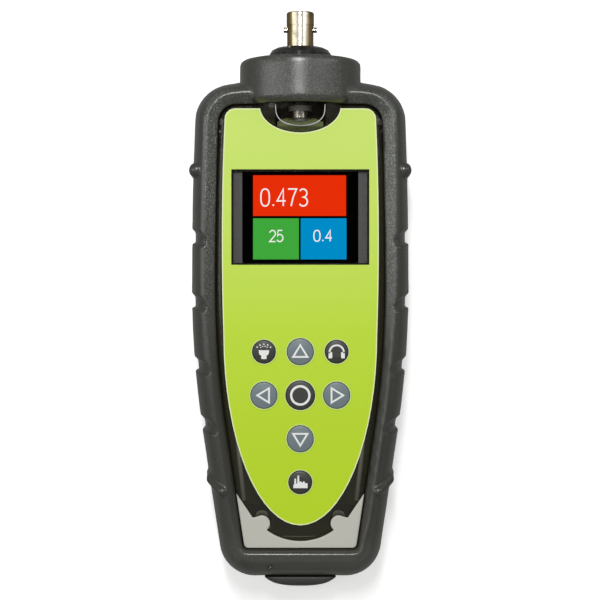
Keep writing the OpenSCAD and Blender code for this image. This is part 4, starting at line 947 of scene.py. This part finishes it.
TILE_DEPTH, TILE_RISE, DIGIT_RISE = 0.1, 0.02, 0.04
for name, (a, b) in TILE_PIXELS.items():
    outline = rectangle(screen_point(*a), screen_point(*b))
    material = f"tile_{name}"
    flat_piece(f"display_{material}", [[outline]], SCREEN_Z, TILE_DEPTH, TILE_RISE, material, "display")

# Digits are drawn in a box that is 1 high. A digit and its space, or a point and its space, take a step
DIGIT_W, DIGIT_STEP, POINT_STEP, LAST_SPACE = 0.56, 0.72, 0.36, 0.16
POINT_PLACE, POINT_UP_SHARE, POINT_R_SHARE = 0.1, 0.6, 0.62
ZERO_STEPS, ZERO_POWER = 32, 0.8


def bow(x, y, rx, ry, start, end, step):
    """Points on an ellipse between two angles in degrees."""
    return around(x, y, rx, ry, [math.radians(a) for a in range(start, end, step)])


def squarish(value):
    return math.copysign(abs(value) ** ZERO_POWER, value)


def zero_loop(w):
    """A nought, a little squarer than an ellipse."""
    turns = full_turn(ZERO_STEPS)
    return [(w / 2 + w / 2 * squarish(math.cos(a)), 0.5 + 0.5 * squarish(math.sin(a))) for a in turns]


def digit_stroke(mark):
    """A digit's stroke, and whether it is closed."""
    w = DIGIT_W
    if mark == "0":
        return zero_loop(w), True
    strokes = {
        "2": bow(w / 2, 0.72, w * 0.5, 0.28, 165, -31, -15) + [(0, 0), (w, 0)],
        "3": bow(w / 2, 0.76, w * 0.44, 0.24, 150, -91, -20) + bow(w / 2, 0.26, w * 0.5, 0.26, 70, -161, -20),
        "4": [(w * 0.72, 0), (w * 0.72, 1), (0, 0.3), (w, 0.3)],
        "5": [(w * 0.92, 1), (w * 0.18, 1), (w * 0.06, 0.5)]
        + bow(w * 0.46, 0.32, w * 0.54, 0.32, 130, -151, -20),
        "7": [(0, 1), (w, 1), (w * 0.62, 0.55), (w * 0.36, 0)],
    }
    return strokes[mark], False


def number_outlines(text, columns, rows, weight):
    """A number between two columns and two rows of the view."""
    (x0, y1), (x1, y0) = screen_point(columns[0], rows[0]), screen_point(columns[1], rows[1])
    steps = [POINT_STEP if c == "." else DIGIT_STEP for c in text]
    across = (x1 - x0) / (sum(steps) - LAST_SPACE)
    outlines, at = [], x0
    for c, step in zip(text, steps):
        if c == ".":
            up, r = y0 + weight * POINT_UP_SHARE, weight * POINT_R_SHARE
            outlines.append([circle(at + POINT_PLACE * across, up, r, 12)])
        else:
            path, closed = digit_stroke(c)
            placed = [(at + px * across, y0 + py * (y1 - y0)) for px, py in path]
            outlines.append(ribbon(placed, weight, closed))
        at += step * across
    return outlines


for name, number in NUMBERS.items():
    outlines = number_outlines(*number)
    flat_piece(f"display_number_{name}", outlines, SCREEN_Z, 0, DIGIT_RISE, "digit_white", "display")


# Prints on the keys and the overlay

PRINT_DEPTH, PRINT_RISE = 0.3, 0.02
ARROW, ARROW_STROKE = [(0, 2.25), (-2.45, -1.75), (2.45, -1.75)], 0.62
ARROW_TURNS = {"up": 0, "left": 90, "down": 180, "right": -90}
RING_OUTER_R, RING_INNER_R = 3.5, 2.72
DARK_PRINT_SCALE, HEADPHONES_SCALE = 1.12, 1.2
LAMP = [
    (-1.6, 0.5), (1.6, 0.5), (1.45, -0.7), (0.8, -1.2), (0.8, -2.2), (-0.8, -2.2), (-0.8, -1.2),
    (-1.45, -0.7),
]
# Rows of light dots: count, first angle, half width, middle, height and radius
LAMP_DOTS = ((5, 30, 2.35, 0.55, 1.75, 0.24), (4, 45, 1.35, 0.65, 1.0, 0.18))
LAMP_DOT_TURN = 30
BAND_Y, BAND_R, BAND_STROKE, BAND_ENDS = -0.2, 2.05, 0.5, (-5, 185)
CUP = [(-0.55, -0.9), (0.35, -0.9), (0.5, -0.6), (0.5, 0.6), (0.35, 0.9), (-0.55, 0.9)]
CUP_X, CUP_Y = 1.75, -0.95
MILL = [
    (-2.1, -1.7), (2.2, -1.7), (2.2, -0.2), (1.5, -0.2), (1.1, 0.5), (0.6, -0.1), (0.1, 0.45), (-0.3, 0.1),
    (-0.35, 2.1), (-0.85, 2.1), (-0.95, -0.3), (-1.25, -0.3), (-1.3, 1.2), (-1.75, 1.2), (-1.85, -0.7),
    (-2.1, -0.7),
]


def key_print(name, outlines, scale=1.0):
    """A print on a key's top, which moves with the key."""
    kx, ky, r = key_place(name)
    placed = [moved(loops, kx, ky, scale) for loops in outlines]
    levels = (KEY_Z, PRINT_DEPTH, PRINT_RISE)
    return flat_piece(f"print_{name}", placed, *levels, "print_white", "key_grey", f"{name}_key")


def lamp_print():
    """A lamp's head with two rows of dots of light above it."""
    outlines = [[LAMP]]
    for count, first, half_w, middle, height, r in LAMP_DOTS:
        for i in range(count):
            a = math.radians(first + LAMP_DOT_TURN * i)
            outlines.append([circle(half_w * math.cos(a), middle + height * math.sin(a), r, 10)])
    return outlines


def headphones_print():
    """A band over the head with a cup at each end."""
    band = ribbon(circle(0, BAND_Y, BAND_R, 24, *BAND_ENDS), BAND_STROKE)
    right = [(CUP_X - px, py + CUP_Y) for px, py in CUP]
    left = [(px - CUP_X, py + CUP_Y) for px, py in CUP]
    return [band, [right], [left]]


for name, turn in ARROW_TURNS.items():
    key_print(name, [moved(ribbon(ARROW, ARROW_STROKE, True), 0, 0, 1, turn)])
key_print("centre", [[circle(0, 0, RING_OUTER_R, 48), circle(0, 0, RING_INNER_R, 48)]])
key_print("torch", lamp_print(), DARK_PRINT_SCALE)
key_print("headphones", headphones_print(), HEADPHONES_SCALE)
key_print("machine", [[MILL]], DARK_PRINT_SCALE)

HALO_START, HALO_END, HALO_RISE = 0.01, 0.24, 0.14


def key_halo(name):
    """The pale ring round a key's hole in the overlay."""
    kx, ky, r = key_place(name)
    return [circle(kx, ky, r + KEY_GAP + HALO_END, 64), circle(kx, ky, r + KEY_GAP + HALO_START, 64)]


halos = [key_halo(name) for name in KEYS]
flat_piece("overlay_key_rings", halos, LABEL_Z, 0, HALO_RISE, "print_halo", "overlay")


# Pale edge of the overlay, from the outline of its top face

EDGE_SPACING, EDGE_W, EDGE_DEPTH, EDGE_RISE = 0.12, 0.34, 0.28, 0.03


def flat_outline(node, level):
    """The outer outline of a node's flat face at a height, in millimetres."""
    piece = frame["nodes"][node]
    edit = bmesh.new()
    edit.from_mesh(piece.data)
    edit.transform(piece.matrix_world)
    bmesh.ops.remove_doubles(edit, verts=edit.verts, dist=1e-6)
    faces = [face for face in edit.faces if all(abs(v.co.z - level * MM) < 2e-5 for v in face.verts)]
    counts = Counter(edge for face in faces for edge in face.edges)
    follow = {}
    for edge in (e for e, count in counts.items() if count == 1):
        for p, q in (tuple(edge.verts), tuple(edge.verts)[::-1]):
            follow.setdefault(p.index, []).append(q.index)
    places = {v.index: (v.co.x / MM, v.co.y / MM) for v in edit.verts}
    edit.free()
    start = min(follow, key=lambda i: places[i][1])
    loop, before, here = [start], None, start
    while True:
        ahead = next((q for q in follow[here] if q != before and q not in loop[1:]), start)
        if ahead == start:
            return [places[i] for i in loop]
        before, here = here, ahead
        loop.append(here)


def spaced_outline(outline):
    """An outline without points that lie too close together, turning left."""
    spaced = [outline[0]]
    for p in outline[1:]:
        if math.dist(p, spaced[-1]) >= EDGE_SPACING:
            spaced.append(p)
    if sum(a[0] * b[1] - b[0] * a[1] for a, b in zip(spaced, spaced[1:] + spaced[:1])) < 0:
        spaced.reverse()
    return spaced


rim_loops = ribbon(spaced_outline(flat_outline("overlay_label", LABEL_Z)), EDGE_W, True)[::-1]
flat_piece("overlay_edge", [rim_loops], LABEL_Z, EDGE_DEPTH, EDGE_RISE, "edge_pale", "overlay")


# Pale marks seen through the smoked case, where the ribs' paleness is a painted highlight, and the boot's
# mould mark

CASE_STREAK, CASE_STREAK_R = ((21.6, -46.0, 31.9), (20.6, -56.0, 32.1), (19.2, -68.5, 32.1)), 0.75
THREAD_RADII, THREAD_STEP, THREAD_Z, THREAD_R = (3.3, 3.2, 3.0, 2.7), 0.55, 32.45, 0.13
THREAD_TURNS = range(50, 131, 10)
FAINT_LINE = [(-5.9, -80.7, 32.4), (0, -80.8, 32.4), (5.2, -80.7, 32.4)]
MOULD_MARK, MOULD_MARK_R = [(-11.1, -92.2, 32.75), (-10.5, -91.5, 33.1), (-9.8, -90.8, 33.4)], 0.42


def case_streak(side):
    """A pale bar inside the case's lower half, shaped as a stiffening rib, whose paleness is a painted
    highlight.
    """
    return [(side * x, y, z) for x, y, z in CASE_STREAK]


def thread_arc(side, row, r):
    """Part of the thread of the insert in a lower screw column."""
    cx, cy = side * LOW_SCREW[0], LOW_SCREW[1] + THREAD_STEP * row
    points = around(cx, cy, r, r, [math.radians(t) for t in THREAD_TURNS])
    return [(px, py, THREAD_Z) for px, py in points]


# The ribs' pale colour is a painted highlight seen through the smoked case
bar_piece("case_streaks", [case_streak(side) for side in (-1, 1)], CASE_STREAK_R, 10, "inner_rib", "smoked_plastic")
threads = [thread_arc(side, row, r) for side in (-1, 1) for row, r in enumerate(THREAD_RADII)]
bar_piece("column_rings", threads + [FAINT_LINE], THREAD_R, 6, "inner_rib", "smoked_plastic")
bar_piece("mould_mark", [MOULD_MARK], MOULD_MARK_R, 10, "boot_rubber", "boot_rubber")


# The end of the jack's shank, its lead's clip, the board's end and a painted highlight along the dome's inner
# side, seen in the dome

SHANK_PROFILE = [
    (0.02, 64.9), (3.3, 64.9), (4.05, 65.6), (4.05, 67.4), (3.5, 67.9), (3.5, 69.4), (0.02, 69.4),
]
CLIP_CORNERS, CLIP_LOW_Z, CLIP_H = ((-2.3, 63.7), (2.3, 63.2)), 21.0, 2.0
BOARD_X, BOARD_Y, BOARD_HALF_W, BOARD_HALF_L = -0.3, 62.0, 7.4, 1.75
BOARD_LOW_Z, BOARD_H, BOARD_STEPS = 20.4, 0.8, 40
GLINT_HALF_W, GLINT_Y, GLINT_L, GLINT_POWER, GLINT_R = 8.4, 66.4, 7.1, 0.6, 0.16
GLINT_SINK, GLINT_STEPS = 0.5, 24


def dome_glint_path():
    """A painted highlight along the dome's inner side, drawn as a pale bar."""
    path = []
    for i in range(GLINT_STEPS + 1):
        a = math.pi * (i / GLINT_STEPS)
        px, py = GLINT_HALF_W * math.cos(a), GLINT_Y - GLINT_L * math.sin(a) ** GLINT_POWER
        back = max(0, DOME_Y - py)
        radial = (CASE_R - GLINT_SINK) * math.sqrt(max(0.0, 1 - (back / DOME_L) ** 2))
        path.append((px, py, AXIS_Z + math.sqrt(max(0.0, radial ** 2 - px ** 2))))
    return path


make("jack_shank_end", *turned_form(SHANK_PROFILE), "shank_light", "meter", "nickel")
clip = rectangle(*CLIP_CORNERS)
flat_piece("jack_lead_clip", [[clip]], CLIP_LOW_Z, 0, CLIP_H, "print_white", "white_insulator")
oval = around(BOARD_X, BOARD_Y, BOARD_HALF_W, BOARD_HALF_L, full_turn(BOARD_STEPS))
flat_piece("board_end", [[oval]], BOARD_LOW_Z, 0, BOARD_H, "board_lit", "board")
# A pale bar standing in for the dome's inner-wall highlight: painted highlight
bar_piece("dome_glint", [dome_glint_path()], GLINT_R, 6, "print_white", "smoked_plastic")


# Camera, floor, lights and world, in metres

camera_data = bpy.data.cameras.new("camera")
camera_data.sensor_width = 36
camera_data.lens = 36 * FOCAL_PIXELS / VIEW_PIXELS
camera = new_object("camera", camera_data)
camera.location = (CAMERA_X * MM, 0, CAMERA_Z * MM)
bpy.context.scene.camera = camera

FLOOR_HALF, FLOOR_DROP, FLOOR_GLOW = 3.0, 0.0002, 0.45
FLOOR_CORNERS = [(-1, -1), (1, -1), (1, 1), (-1, 1)]


def floor_shading():
    """White to the camera and darker to other rays, with the shadow kept."""
    material, tree, shader = new_material("floor_white")
    fill(tree, shader, {"Base Color": (0.92, 0.92, 0.92, 1), "Roughness": 0.9, "Specular IOR Level": 0.0})
    dark = add(tree, "BsdfDiffuse", Color=(0.35, 0.35, 0.34, 1))
    white = add(tree, "Emission", Strength=FLOOR_GLOW)
    both = add(tree, "AddShader")
    tree.links.new(shader.outputs["BSDF"], both.inputs[0])
    tree.links.new(white.outputs["Emission"], both.inputs[1])
    camera_only(tree, dark.outputs["BSDF"], both.outputs["Shader"], tree.nodes["Material Output"])
    return material


def camera_only(tree, others, seen, output):
    """One shader for the camera's rays and another for all other rays."""
    gate = add(tree, "MixShader", Fac=add(tree, "LightPath").outputs["Is Camera Ray"])
    tree.links.new(others, gate.inputs[1])
    tree.links.new(seen, gate.inputs[2])
    tree.links.new(gate.outputs["Shader"], output.inputs["Surface"])


floor_mesh = bpy.data.meshes.new("floor")
floor_points = [(x * FLOOR_HALF, y * FLOOR_HALF, 0) for x, y in FLOOR_CORNERS]
floor_mesh.from_pydata(floor_points, [], [(0, 1, 2, 3)])
floor = new_object("floor", floor_mesh)
floor.location = (0, 0, -FLOOR_DROP)
floor_mesh.materials.append(floor_shading())


def area_light(name, place, target, size, power):
    light = bpy.data.lights.new(name, "AREA")
    light.shape = "RECTANGLE"
    light.size, light.size_y = size
    light.energy = power
    lamp = new_object(name, light)
    lamp.location = place
    lamp.rotation_euler = (Vector(target) - Vector(place)).to_track_quat("-Z", "Y").to_euler()


area_light("key_light", (-0.04, 0.42, 0.95), (0, 0.02, 0.02), (0.11, 0.36), 4.9)
area_light("right_light", (0.66, 0.34, 0.62), (0, 0, 0.02), (0.22, 0.8), 1.2)
area_light("left_light", (-0.70, 0.12, 0.62), (0, 0, 0.02), (0.30, 0.8), 1.5)


def studio_world():
    """Soft, clouded light all round, with a plain pale sky where the camera sees it."""
    world = bpy.data.worlds.new("studio")
    world.use_nodes = True
    tree = world.node_tree
    back = tree.nodes["Background"]
    place = add(tree, "TexCoord").outputs["Generated"]
    cloud = add(tree, "TexNoise", Vector=place, Scale=2.2, Detail=2.0)
    tint = ramp(tree, cloud.outputs["Fac"], [
        (0.38, (0.16, 0.155, 0.15)), (0.5, (0.62, 0.615, 0.6)), (0.62, (1.0, 0.99, 0.97))])
    fill(tree, back, {"Color": tint, "Strength": 0.5})
    sky = add(tree, "Background", Color=(0.9, 0.9, 0.9, 1), Strength=1.0)
    camera_only(tree, back.outputs["Background"], sky.outputs["Background"], tree.nodes["World Output"])
    return world


bpy.context.scene.world = studio_world()
bpy.context.scene.view_settings.view_transform = "Standard"

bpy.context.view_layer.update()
